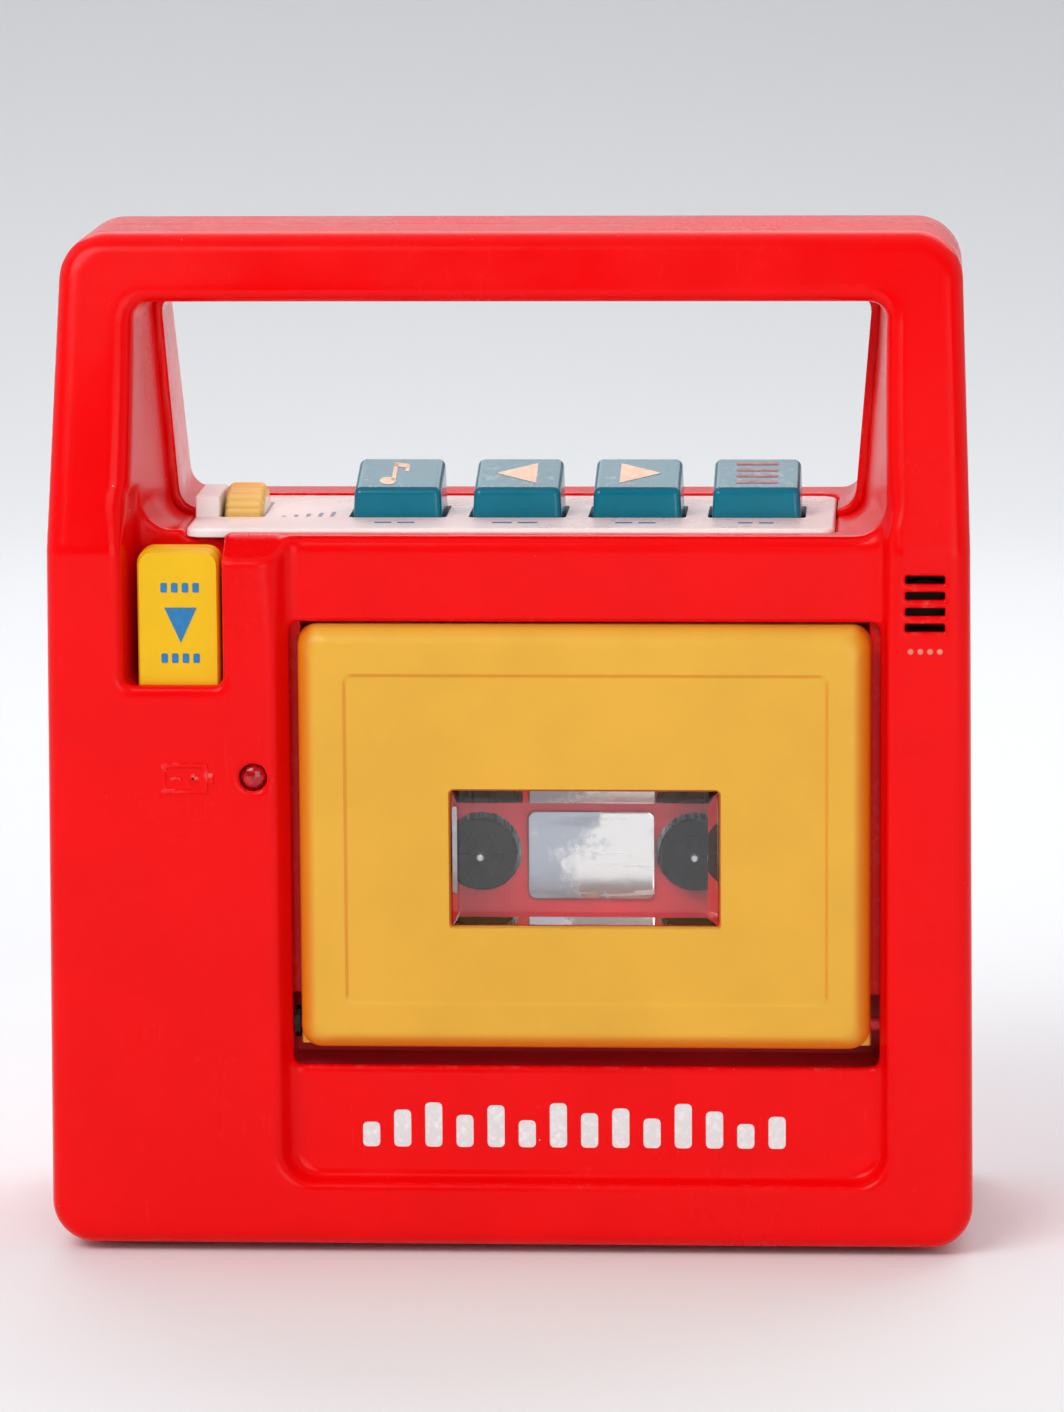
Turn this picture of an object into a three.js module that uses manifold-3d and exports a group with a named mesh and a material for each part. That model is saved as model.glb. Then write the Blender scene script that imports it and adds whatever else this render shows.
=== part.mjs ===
// Toy cassette tape recorder with a built-in handle.
// Millimetres, +Z up, front faces -Y. The origin is on the floor, under the middle of the case.
import * as THREE from 'three';
import { ConvexGeometry } from 'three/addons/geometries/ConvexGeometry.js';
import { mergeVertices } from 'three/addons/utils/BufferGeometryUtils.js';
import Module from 'manifold-3d';

const wasm = await Module();
wasm.setup();

// ---- driving dimensions (heights are measured from the case's bottom edge) ----
const GAP = 0.3;                 // clearance between neighbouring pieces
const FOOT_PROUD = 1.5;          // how far the feet lift the case
const WALL = 2.5;                // case wall thickness
const HALF_DEPTH = 38;           // case half depth below the crease
const TOP_HALF_DEPTH = 20.5;     // half depth of the handle's top
const CREASE_Z = 139.7;          // height where the front and rear start to lean inwards
const TOP_Z = 200.3;               // top of the handle
const HALF_WIDTH = { base: 91.7, crease: 90.5, top: 88.8 };
const CORNER_R = 8.5;            // case corners seen from the front
const EDGE = 3;                  // bevel round the case's front and rear edges
const GRIP_Z = 186.8;              // underside of the handle bar
const DECK_Z = 141.8;            // top of the deck that carries the keys
const DECK_WALL = 3;
const RECESS = { x0: -45.8, x1: 74.6, z0: 13, floorY: -33, r: 6 };
const POCKET = { x0: -43.2, x1: 73, z0: 35.8, z1: 124.9, r: 2 };     // opening for the door
const DOOR = { x0: -41.6, x1: 71.3, z0: 39.8, z1: 124.5, backY: -30.5, r: 3.5 };
const DOOR_AXIS = { y: -29, z: 44 };
const DOOR_SKIN = 2.5;
const WINDOW = { x0: -11.1, x1: 41.3, z0: 65, z1: 91.85, backY: -34 };
const WELL_Y = -16;              // front of the cassette well's floor
const WELL_FLOOR = 2;
const WELL_BACK = WELL_Y + WELL_FLOOR;
const REEL_Z = 76.3;             // height of both reel spindles
const REEL_X = { takeup: -6.3, supply: 36.3 };
const CAPSTAN = { x: -8, z: 106 };
const MOTOR = { x: 52, z: 88, r: 14, y0: 3, y1: 25 };
const HEAD_SLIDE = { x0: -20, x1: 34, y0: -12, y1: -10.5, z0: 112.3, z1: 126 };
const HEAD_FRONT = -27;
const HEAD_TOP = 119.5;
const PLAY_HEAD = { x0: 9, x1: 21, z0: 112.5 };
const ERASE_HEAD = { x0: 25, x1: 30, z0: 113.2 };
const PINCH_ROLLER = { z: 118.2, r: 5.9, y0: -25.5, y1: -16.7 };
const CHASSIS = { x0: -40, x1: 70, z0: 48, z1: 123 };
const CHASSIS_Y = -8.5;          // front of the 1.5 mm chassis plate
const SHEET = 1.5;
const PLATE = { x0: -64, x1: 64, y0: -26, y1: 24, z0: 140.6, z1: 142.5 };
const KEY = { width: 18.6, depth: 17, midY: -1, low: 133.5, frontTop: 148.1, rearTop: 152.4 };
const KEY_STEM = { z: 128, half: 1.7 };
const SPRING = { outer: 3.8, inner: 2.8 };
const KEY_SPRING_Z = 123.3;      // the shelf that the key springs stand on
const KEY_X = { play: -23.3, forward: 0.6, rewind: 24.5, record: 48.3 };
const WHEEL = { x0: -58.2, x1: -50.5, y: 2, z: 136, r: 12 };
const EJECT = { x0: -72.9, x1: -56.5, z0: 104, z1: 139.5, frontY: -35.2, backY: -27.5 };
const EJECT_SHELF = { x0: -70, x1: -59, y1: -27, z0: 88.6, z1: 90.4 };   // the eject spring stands on it
const EJECT_POCKET = { x0: -75.8, x1: -55.9, z0: 112.8, backY: -24 };
const LAMP = { x: -50.1, z: 94.6, r: 2.5 };
const BATTERY_SIGN = { x0: -68.2, x1: -59, z0: 91.4, z1: 97.5, line: 0.9, proud: 0.4 };
const MIC = { x0: 77.8, x1: 85.6, topZ: 134.9, slot: 1.7, pitch: 3.15, count: 4 };
const SPEAKER = { x: -38, z: 97, r: 33 };
const CELL = { r: 13.1, length: 50, x: 30, y: 21.2, z: [17.5, 45.1] };   // C-size cells
const BATTERY_BOX = { halfX: 58.8, y: 7, z0: 3.2, z1: 59.4, wall: 1.8 };
const COVER = { halfX: 56, z0: 4.2, z1: 58.6 };
const COVER_SCREW_Z = 31.3;
const SCREW_POST = { r: 4.5, reach: 36, thread: 1.5, clearance: 1.8, headBore: 3.7, headY: 14 };
const CASE_SCREWS = [[-82, 12], [82, 12], [-82.5, 104], [82.5, 104]];
const FEET = [[-70, -24], [70, -24], [-70, 24], [70, 24]];
const FOOT_R = 5;
const SIDES = 20;                // facets on round pieces
const FAR = 100;                 // past the case on every side but its top, for cutters

// ---- materials ----
function finish(colour, roughness, metalness = 0) {
  return new THREE.MeshStandardMaterial({ color: colour, roughness, metalness });
}
const RED = finish(0xe0141c, 0.35);
const DEEP_RED = finish(0xb5161c, 0.45);
const YELLOW = finish(0xe2b044, 0.4);
const TEAL = finish(0x0e7584, 0.35);
const WHITE = finish(0xf1eeea, 0.4);
const BLACK = finish(0x1a1a1a, 0.6);
const STEEL = finish(0xb8bcc0, 0.35, 0.9);
const BRASS = finish(0xc9a552, 0.35, 0.9);
const RUBBER = finish(0x222222, 0.9);
const BOARD = finish(0x4f7a3a, 0.6);
const PAPER = finish(0x35302c, 0.9);
const SILVER = finish(0xd8d8d6, 0.2, 0.8);
const CLEAR = finish(0xd7dee0, 0.05);
const LENS = finish(0x8f1018, 0.15);
const CELL_SKIN = finish(0x3a4f8c, 0.4);

// ---- solid helpers ----
function solidOf(geometry) {
  const bare = geometry.clone();
  bare.deleteAttribute('normal');
  bare.deleteAttribute('uv');
  const merged = mergeVertices(bare, 1e-4);
  return new wasm.Manifold(new wasm.Mesh({
    numProp: 3,
    vertProperties: new Float32Array(merged.attributes.position.array),
    triVerts: new Uint32Array(merged.index.array),
  }));
}

function geometryOf(solid) {
  const mesh = solid.getMesh();
  const geometry = new THREE.BufferGeometry();
  geometry.setAttribute('position', new THREE.BufferAttribute(Float32Array.from(mesh.vertProperties), 3));
  geometry.setIndex(new THREE.BufferAttribute(Uint32Array.from(mesh.triVerts), 1));
  geometry.computeVertexNormals();
  return geometry;
}

const joined = (solids) => solids.reduce((sum, next) => sum.add(next));
const cut = (solid, cutters) => cutters.reduce((left, cutter) => left.subtract(cutter), solid);

function box(x0, x1, y0, y1, z0, z1) {
  const geometry = new THREE.BoxGeometry(x1 - x0, y1 - y0, z1 - z0);
  return solidOf(geometry.translate((x0 + x1) / 2, (y0 + y1) / 2, (z0 + z1) / 2));
}

function rod(axis, centre, radius, from, to, sides = SIDES) {
  const geometry = new THREE.CylinderGeometry(radius, radius, to - from, sides);
  const middle = (from + to) / 2;
  if (axis === 'x') geometry.rotateZ(-Math.PI / 2).translate(middle, centre[0], centre[1]);
  if (axis === 'y') geometry.translate(centre[0], middle, centre[1]);
  if (axis === 'z') geometry.rotateX(Math.PI / 2).translate(centre[0], centre[1], middle);
  return solidOf(geometry);
}

// A polygon whose corners are rounded by quadratic curves.
function roundedShape(points, radii) {
  const shape = new THREE.Shape();
  const corners = points.map(([u, v]) => new THREE.Vector2(u, v));
  corners.forEach((corner, i) => {
    const before = corners[(i + corners.length - 1) % corners.length];
    const after = corners[(i + 1) % corners.length];
    const r = Array.isArray(radii) ? radii[i] : radii;
    const start = corner.clone().add(before.clone().sub(corner).setLength(r));
    const end = corner.clone().add(after.clone().sub(corner).setLength(r));
    if (i === 0) shape.moveTo(start.x, start.y);
    else shape.lineTo(start.x, start.y);
    shape.quadraticCurveTo(corner.x, corner.y, end.x, end.y);
  });
  shape.closePath();
  return shape;
}

const roundRect = (u0, u1, v0, v1, r) => roundedShape([[u0, v0], [u1, v0], [u1, v1], [u0, v1]], r);

// Extrudes a shape along an axis from one coordinate to another; bevel rounds both end edges.
function slab(axis, shape, from, to, bevel = 0) {
  const geometry = new THREE.ExtrudeGeometry(shape, {
    depth: to - from - 2 * bevel, curveSegments: 4, bevelEnabled: bevel > 0,
    bevelThickness: bevel, bevelSize: bevel, bevelOffset: -bevel, bevelSegments: 2,
  });
  geometry.translate(0, 0, bevel);
  const X = new THREE.Vector3(1, 0, 0);
  const Y = new THREE.Vector3(0, 1, 0);
  const Z = new THREE.Vector3(0, 0, 1);
  const turn = new THREE.Matrix4();
  if (axis === 'x') turn.makeBasis(Y, Z, X).setPosition(from, 0, 0);
  if (axis === 'y') turn.makeBasis(X, Z, Y.clone().negate()).setPosition(0, to, 0);
  if (axis === 'z') turn.setPosition(0, 0, from);
  return solidOf(geometry.applyMatrix4(turn));
}

function hull(points) {
  return solidOf(new ConvexGeometry(points.map((p) => new THREE.Vector3(...p))));
}

// A profile of [radius, y] points turned round an axis along Y at (x, z).
function turned(profile, x, z, sides = SIDES) {
  const points = profile.map(([radius, y]) => new THREE.Vector2(radius, y));
  const geometry = new THREE.LatheGeometry(points, sides);
  const solid = solidOf(geometry.translate(x, 0, z));
  return solid;
}

// ---- the object ----
const recorder = new THREE.Group();
const onFeet = new THREE.Group();
onFeet.position.z = FOOT_PROUD;
recorder.add(onFeet);

function place(name, solid, material, position = [0, 0, 0]) {
  const mesh = new THREE.Mesh(geometryOf(solid), material);
  mesh.name = name;
  mesh.position.set(...position);
  onFeet.add(mesh);
}

// ---- case ----
const LEAN = (HALF_DEPTH - TOP_HALF_DEPTH) / (TOP_Z - CREASE_Z);
const LEAN_INSET = Math.hypot(1, LEAN);

// The case's outer form, moved inwards by inset.
function caseForm(inset, bevel = 0) {
  const half = HALF_DEPTH - inset;
  const crease = CREASE_Z - (inset * (LEAN_INSET - 1)) / LEAN;
  const topZ = TOP_Z - inset;
  const topHalf = HALF_DEPTH - LEAN_INSET * inset - LEAN * (topZ - CREASE_Z);
  const right = [
    [HALF_WIDTH.base - inset, inset],
    [HALF_WIDTH.crease - inset, crease],
    [HALF_WIDTH.top - inset, topZ],
  ];
  const left = right.map(([x, z]) => [-x, z]).reverse();
  const corner = CORNER_R - inset;
  const outline = roundedShape([...right, ...left], [corner, 1, corner, corner, 1, corner]);
  const side = roundedShape([
    [-half, inset], [half, inset], [half, crease], [topHalf, topZ], [-topHalf, topZ], [-half, crease],
  ], [0.5, 0.5, 3, 3, 3, 3]);
  return slab('y', outline, -half, half, bevel).intersect(slab('x', side, -FAR, FAR));
}

// The hole under the handle bar: narrower at the bottom and towards the parting plane.
function gripHole(grow) {
  const front = { y: -45, top: 75.5, bottom: 76.2 };
  const middle = { y: 0, top: 72.9, bottom: 69.2 };
  const rear = { y: 45, top: 73.5, bottom: 70.5 };
  const ring = ({ y, top, bottom }) => [
    [top + grow, y, GRIP_Z + grow], [-top - grow, y, GRIP_Z + grow],
    [bottom + grow, y, DECK_Z - grow], [-bottom - grow, y, DECK_Z - grow],
  ];
  return hull([...ring(front), ...ring(middle)]).add(hull([...ring(middle), ...ring(rear)]));
}

function recessCut(grow) {
  const { x0, x1, z0, floorY, r } = RECESS;
  const shape = roundRect(x0 - grow, x1 + grow, z0 - grow, TOP_Z - CORNER_R, r);
  return slab('y', shape, -60, floorY + grow);
}

function ejectPocketBlock() {
  const wall = 1.8;
  const { x0, x1, z0, backY } = EJECT_POCKET;
  return box(x0 - wall, x1 + wall, -HALF_DEPTH + 1, backY + wall, z0 - 4.8, DECK_Z);
}

function micSlots() {
  const slots = [];
  for (let i = 0; i < MIC.count; i += 1) {
    const top = MIC.topZ - i * MIC.pitch;
    slots.push(box(MIC.x0, MIC.x1, -HALF_DEPTH - 2, -HALF_DEPTH + 4, top - MIC.slot, top));
  }
  return slots;
}

function speakerSlots() {
  const pitch = 6;
  const reach = SPEAKER.r - 4;
  const halfSlot = 1.4;
  const slots = [];
  for (let i = -4; i <= 4; i += 1) {
    const half = Math.sqrt(reach ** 2 - (i * pitch) ** 2);
    const z = SPEAKER.z + i * pitch;
    slots.push(box(SPEAKER.x - half, SPEAKER.x + half, HALF_DEPTH - 4, HALF_DEPTH + 2, z - halfSlot, z + halfSlot));
  }
  return slots;
}

// A battery outline with its end cap and a bar inside, raised on the front face.
function batterySign() {
  const { x0, x1, z0, z1, line, proud } = BATTERY_SIGN;
  const middle = (z0 + z1) / 2;
  const raised = (a, b, low, high) => box(a, b, -HALF_DEPTH - proud, -HALF_DEPTH + 1, low, high);
  const outline = raised(x0, x1, z0, z1)
    .subtract(box(x0 + line, x1 - line, -HALF_DEPTH - 2, -HALF_DEPTH, z0 + line, z1 - line));
  const cap = raised(x1 - 0.1, x1 + 1.2, middle - 1.1, middle + 1.1);
  const charge = raised(x0 + 1.7, x0 + 4.1, middle - 0.35, middle + 0.35);
  return joined([outline, cap, charge]);
}

function caseHalves() {
  const { floorY } = RECESS;
  const skin = cut(caseForm(0, EDGE), [gripHole(0), recessCut(0)]);
  const hollow = cut(caseForm(WALL), [gripHole(DECK_WALL), recessCut(WALL), ejectPocketBlock()]);
  let shell = skin.subtract(hollow);

  // Posts for the case screws, front and rear.
  const post = SCREW_POST;
  shell = joined([shell, ...CASE_SCREWS.map((at) => rod('y', at, post.r, -post.reach, post.reach, 12))]);
  const plateSeat = slab('z', roundRect(PLATE.x0 - GAP, PLATE.x1 + GAP, PLATE.y0 - GAP, PLATE.y1 + GAP, 3.3),
    PLATE.z0 - GAP, DECK_Z + 10);
  const ledge = 4;
  const keyOpening = box(PLATE.x0 + ledge, PLATE.x1 - ledge, PLATE.y0 + ledge, PLATE.y1 - ledge, 130, DECK_Z);
  shell = cut(shell, [plateSeat, keyOpening]);

  let front = shell.intersect(box(-FAR, FAR, -FAR, -GAP / 2, -1, TOP_Z + 1));
  let rear = shell.intersect(box(-FAR, FAR, GAP / 2, FAR, -1, TOP_Z + 1));

  const pocket = EJECT_POCKET;
  const ejectCut = box(pocket.x0, pocket.x1, -50, pocket.backY, pocket.z0, DECK_Z + 20);
  const ejectSlot = box(EJECT.x0 - 0.6, EJECT.x1 + 0.6, EJECT.frontY - GAP, EJECT.backY + 1, 100, 120);
  const postSlope = slab('x', roundedShape([[-60, 137.5], [-37, 137.5], [-30, DECK_Z], [-30, 150], [-60, 150]], 0.2),
    pocket.x1, RECESS.x0);
  const doorHole = slab('y', roundRect(POCKET.x0, POCKET.x1, POCKET.z0, POCKET.z1, POCKET.r), floorY - 1, -20);
  const lampBore = rod('y', [LAMP.x, LAMP.z], LAMP.r + GAP, -40, -28, 16);
  front = cut(front, [ejectCut, ejectSlot, postSlope, doorHole, lampBore, ...micSlots()]);
  const shelf = EJECT_SHELF;
  front = front.add(box(shelf.x0, shelf.x1, -HALF_DEPTH + 2, shelf.y1, shelf.z0, shelf.z1));
  front = cut(front, CASE_SCREWS.map((at) => rod('y', at, post.thread, -20, 1, 10)));

  const { halfX, y, z0, z1, wall } = BATTERY_BOX;
  const boxBlock = box(-halfX - wall, halfX + wall, y - wall, 36, z0 - wall, z1 + wall);
  const boxRoom = box(-halfX, halfX, y, 50, z0, z1);
  const screwPost = rod('y', [0, COVER_SCREW_Z], post.r - 1, y - 1, 32, 12);
  const coverHole = box(-COVER.halfX - GAP, COVER.halfX + GAP, 30, 50, COVER.z0 - GAP, COVER.z1 + GAP);
  const boxLip = box(-COVER.halfX - GAP, COVER.halfX + GAP, 35, 50, COVER.z0 - GAP, COVER.z1 + GAP);
  const rearWall = rear.intersect(box(-FAR, FAR, HALF_DEPTH - WALL - 0.01, FAR, -1, z1 + wall));
  rear = rear.add(boxBlock.intersect(caseForm(1)));
  rear = cut(rear, [boxRoom.intersect(box(-FAR, FAR, 0, HALF_DEPTH - WALL, -1, FAR))]);
  rear = rear.add(rearWall).add(screwPost);
  rear = cut(rear, [coverHole.intersect(boxLip), rod('y', [0, COVER_SCREW_Z], 1.3, 20, 40, 10)]);
  rear = cut(rear, CASE_SCREWS.map((at) => rod('y', at, post.headBore, post.headY, FAR, 12)));
  rear = cut(rear, CASE_SCREWS.map((at) => rod('y', at, post.clearance, -1, post.headY + 1, 10)));
  rear = cut(rear, speakerSlots());

  front = front.add(batterySign());

  const footSeats = FEET.map(([x, footY]) => rod('z', [x, footY], FOOT_R + GAP, -5, 0.8, 16));
  place('front_shell', cut(front, footSeats), RED);
  place('rear_shell', cut(rear, footSeats), RED);
}

function feet() {
  FEET.forEach(([x, y], i) => {
    place(`foot_${i + 1}`, rod('z', [0, 0], FOOT_R, 0, FOOT_PROUD + 0.5, 16), RUBBER, [x, y, -FOOT_PROUD]);
  });
}

function caseScrews() {
  CASE_SCREWS.forEach(([x, z], i) => {
    const screw = turned([[0, -12], [1.2, -11], [1.2, 14.3], [3.2, 14.3], [3.2, 16.2], [0, 16.5]], 0, 0, 10);
    place(`case_screw_${i + 1}`, screw, STEEL, [x, 0, z]);
  });
}

// ---- key deck ----
function keyPlate() {
  let plate = slab('z', roundRect(PLATE.x0, PLATE.x1, PLATE.y0, PLATE.y1, 3), PLATE.z0, PLATE.z1);
  const room = 0.5;
  const halfX = KEY.width / 2 + room;
  const halfY = KEY.depth / 2 + room;
  const holes = Object.values(KEY_X).map((x) => box(x - halfX, x + halfX, KEY.midY - halfY, KEY.midY + halfY,
    PLATE.z0 - 1, PLATE.z1 + 1));
  const wheelSlot = box(WHEEL.x0 - 1, WHEEL.x1 + 0.6, WHEEL.y - 11.5, WHEEL.y + 11.5, PLATE.z0 - 1, PLATE.z1 + 1);
  plate = cut(plate, [...holes, wheelSlot]);
  place('key_plate', plate, WHITE);
}

function keys() {
  const halfX = KEY.width / 2;
  const halfY = KEY.depth / 2;
  Object.entries(KEY_X).forEach(([name, x]) => {
    const side = roundedShape([
      [-halfY, KEY.low], [halfY, KEY.low], [halfY, KEY.rearTop], [-halfY, KEY.frontTop],
    ], 2);
    const cap = slab('x', side, -halfX, halfX, 1);
    const { z, half } = KEY_STEM;
    const stem = box(-half, half, -half, half, z, KEY.low + 1);
    place(`${name}_key`, cap.add(stem), TEAL, [x, KEY.midY, 0]);
    place(`${name}_key_spring`, coil(KEY_SPRING_Z, KEY.low - GAP), STEEL, [x, KEY.midY, 0]);
  });
}

// A spring's outer envelope: a plain sleeve standing on z0.
function coil(z0, z1) {
  return rod('z', [0, 0], SPRING.outer, z0, z1, 12).subtract(rod('z', [0, 0], SPRING.inner, z0 - 1, z1 + 1, 12));
}

function ejectButton() {
  const { x0, x1, z0, z1, frontY, backY } = EJECT;
  const face = slab('y', roundRect(x0, x1, z0, z1, 1.5), frontY, backY, 1);
  const middle = (x0 + x1) / 2;
  const stem = box(middle - 1.7, middle + 1.7, -33, -29.6, 98.5, z0 + 1);
  place('eject_button', face.add(stem), YELLOW);
  place('eject_spring', coil(EJECT_SHELF.z1 + GAP, z0 - GAP), STEEL, [middle, -31.3, 0]);
}

function volumeControl() {
  const teeth = 30;
  const rim = new THREE.Shape();
  for (let i = 0; i < teeth * 2; i += 1) {
    const angle = (i * Math.PI) / teeth;
    const radius = i % 2 ? WHEEL.r - 0.7 : WHEEL.r;
    const [u, v] = [radius * Math.cos(angle), radius * Math.sin(angle)];
    if (i === 0) rim.moveTo(u, v);
    else rim.lineTo(u, v);
  }
  rim.closePath();
  const half = (WHEEL.x1 - WHEEL.x0) / 2;
  const shaft = rod('x', [0, 0], 2, -half - 2.4, 0, 12);
  const place0 = [(WHEEL.x0 + WHEEL.x1) / 2, WHEEL.y, WHEEL.z];
  place('volume_wheel', slab('x', rim, -half, half).add(shaft), YELLOW, place0);
  const pot = box(-67, -60.9, -6, 10, 124, 138.4).subtract(rod('x', [WHEEL.y, WHEEL.z], 2.3, -63, -60, 12));
  place('volume_pot', pot, STEEL);
}

// ---- cassette door ----
function door() {
  const { x0, x1, z0, z1, backY, r } = DOOR;
  const skin = DOOR_SKIN;
  const outer = slab('y', roundRect(x0, x1, z0, z1, r), -HALF_DEPTH, 0, 2)
    .intersect(box(x0 - 1, x1 + 1, -HALF_DEPTH - 1, backY, z0 - 1, z1 + 1));
  const hollow = box(x0 + skin, x1 - skin, -HALF_DEPTH + skin, 0, z0 + skin, z1 - skin);
  const earDepth = DOOR_AXIS.y + 3;
  const parts = [outer.subtract(hollow)];
  const sides = [{ wall: x0, inward: 1 }, { wall: x1, inward: -1 }];
  sides.forEach(({ wall, inward }) => {
    const across = (a, b, y0, y1, low, high) => {
      const ends = [wall + inward * a, wall + inward * b].sort((p, q) => p - q);
      return box(ends[0], ends[1], y0, y1, low, high);
    };
    parts.push(across(0, skin, backY - 1, earDepth, z0, 47.5));
    parts.push(across(skin - 0.5, skin + 2, -36, -17.5, 45.5, 104));
    parts.push(across(skin, skin + 6.4, -19, -17.5, 45.5, 104));
  });
  parts.push(box(x0 + skin - 1, x1 - skin + 1, -36, -18, 45.3, 46.9));
  const windowHole = box(WINDOW.x0 - GAP, WINDOW.x1 + GAP, -50, -33, WINDOW.z0 - GAP, WINDOW.z1 + GAP);
  const pinBore = rod('x', [DOOR_AXIS.y, DOOR_AXIS.z], 1.7, x0 - 5, x1 + 5, 12)
    .subtract(box(x0 + skin, x1 - skin, -40, -20, 40, 50));
  place('door', cut(joined(parts), [windowHole, pinBore]), YELLOW);

  const pane = slab('y', roundRect(WINDOW.x0, WINDOW.x1, WINDOW.z0, WINDOW.z1, 0.9), -HALF_DEPTH, WINDOW.backY, 0.5);
  place('door_window', pane, CLEAR);
  const pin = rod('x', [0, 0], 1.4, -4.2, 4.2, 12);
  const pinPlaces = { left: x0 - 1.9, right: x1 + 1.9 };
  Object.entries(pinPlaces).forEach(([side, x]) => {
    place(`door_hinge_pin_${side}`, pin, DEEP_RED, [x, DOOR_AXIS.y, DOOR_AXIS.z]);
  });
}

// The red tray behind the door. The cassette hangs in it, with its open edge up.
function cassetteWell() {
  const wall = 1.6;
  const room = 0.5;
  const frontY = RECESS.floorY + WALL + GAP;
  const [x0, x1, z0, z1] = [POCKET.x0 - room, POCKET.x1 + room, POCKET.z0 - room, POCKET.z1 + room];
  const block = box(x0 - wall, x1 + wall, frontY, WELL_BACK, z0 - wall, z1 + wall);
  const inside = box(x0, x1, frontY - 5, WELL_Y, z0, z1);
  const [near, far] = [WELL_Y - 4, WELL_BACK + 4];       // cutters pass right through the floor
  const reelHoles = Object.values(REEL_X).map((x) => rod('y', [x, REEL_Z], 8, near, far));
  const capstanHole = rod('y', [CAPSTAN.x, CAPSTAN.z], 1.9, near, far, 12);
  const headSlot = box(PLAY_HEAD.x0 - 1, ERASE_HEAD.x1 + 1.5, near, far, HEAD_SLIDE.z0 - 5.8, HEAD_TOP + 1.5);
  const rollerSlot = box(CAPSTAN.x - 9, CAPSTAN.x + 9, near, far, 111, 124.6);
  const axleSlot = box(CAPSTAN.x - 2, CAPSTAN.x + 2, near, far, 108.5, 112);
  const pins = rod('x', [DOOR_AXIS.y, DOOR_AXIS.z], 1.7, -60, 90, 12);
  const well = cut(block, [inside, ...reelHoles, capstanHole, headSlot, rollerSlot, axleSlot, pins]);
  place('cassette_well', well, DEEP_RED);
  const mirror = slab('y', roundRect(2.9, 28.2, 66.8, 84.6, 1.6), WELL_Y - GAP - 1, WELL_Y - GAP);
  place('reflector_plate', mirror, SILVER);
  const spring = rod('x', [0, 0], 3.2, -0.5, 0.5, 12).subtract(rod('x', [0, 0], 1.8, -1, 1, 12));
  place('door_spring', spring, STEEL, [(POCKET.x0 + DOOR.x0) / 2, DOOR_AXIS.y, DOOR_AXIS.z]);
}

// ---- tape mechanism ----
function mechanism() {
  const back = CHASSIS_Y + SHEET;
  const { x0, x1, z0, z1 } = CHASSIS;
  const plate = box(x0, x1, CHASSIS_Y, back, z0, z1);
  const shelf = box(x0 + 2, x1 - 8, CHASSIS_Y, 6, z1 - SHEET, z1);
  const legs = [[x0 + 4, z0 + 4], [x1 - 4, z0 + 4], [x1 - 4, z1 - 7], [x0 + 4, z1 - 7]];
  const posts = legs.map((at) => rod('y', at, 2.5, WELL_BACK + GAP, CHASSIS_Y + 0.5, 12));
  const motorPosts = [-10.5, 10.5].map((dz) => rod('y', [MOTOR.x, MOTOR.z + dz], 2, back - 0.5, MOTOR.y0 - GAP, 10));
  const bores = [
    ...Object.values(REEL_X).map((x) => rod('y', [x, REEL_Z], 2.9, -12, 0, 14)),
    rod('y', [CAPSTAN.x, CAPSTAN.z], 1.7, -12, 0, 12),
  ];
  place('mechanism_chassis', cut(joined([plate, shelf, ...posts, ...motorPosts]), bores), STEEL);
  const { r, y0, y1 } = MOTOR;
  place('motor', turned([[0, y0], [r, y0], [r, y1], [4, y1 + 1], [0, y1 + 1]], 0, 0), STEEL, [MOTOR.x, 0, MOTOR.z]);
}

const FLYWHEEL = { r: 15, groove: 13.2, hub: 6, y0: -2, y1: 4 };
const PULLEY = { r: 3.9, groove: 2.2 };
const BELT = { y0: -0.5, y1: 1.5, thick: 1.2 };
const TAKEUP_GEAR_R = 9;

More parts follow.
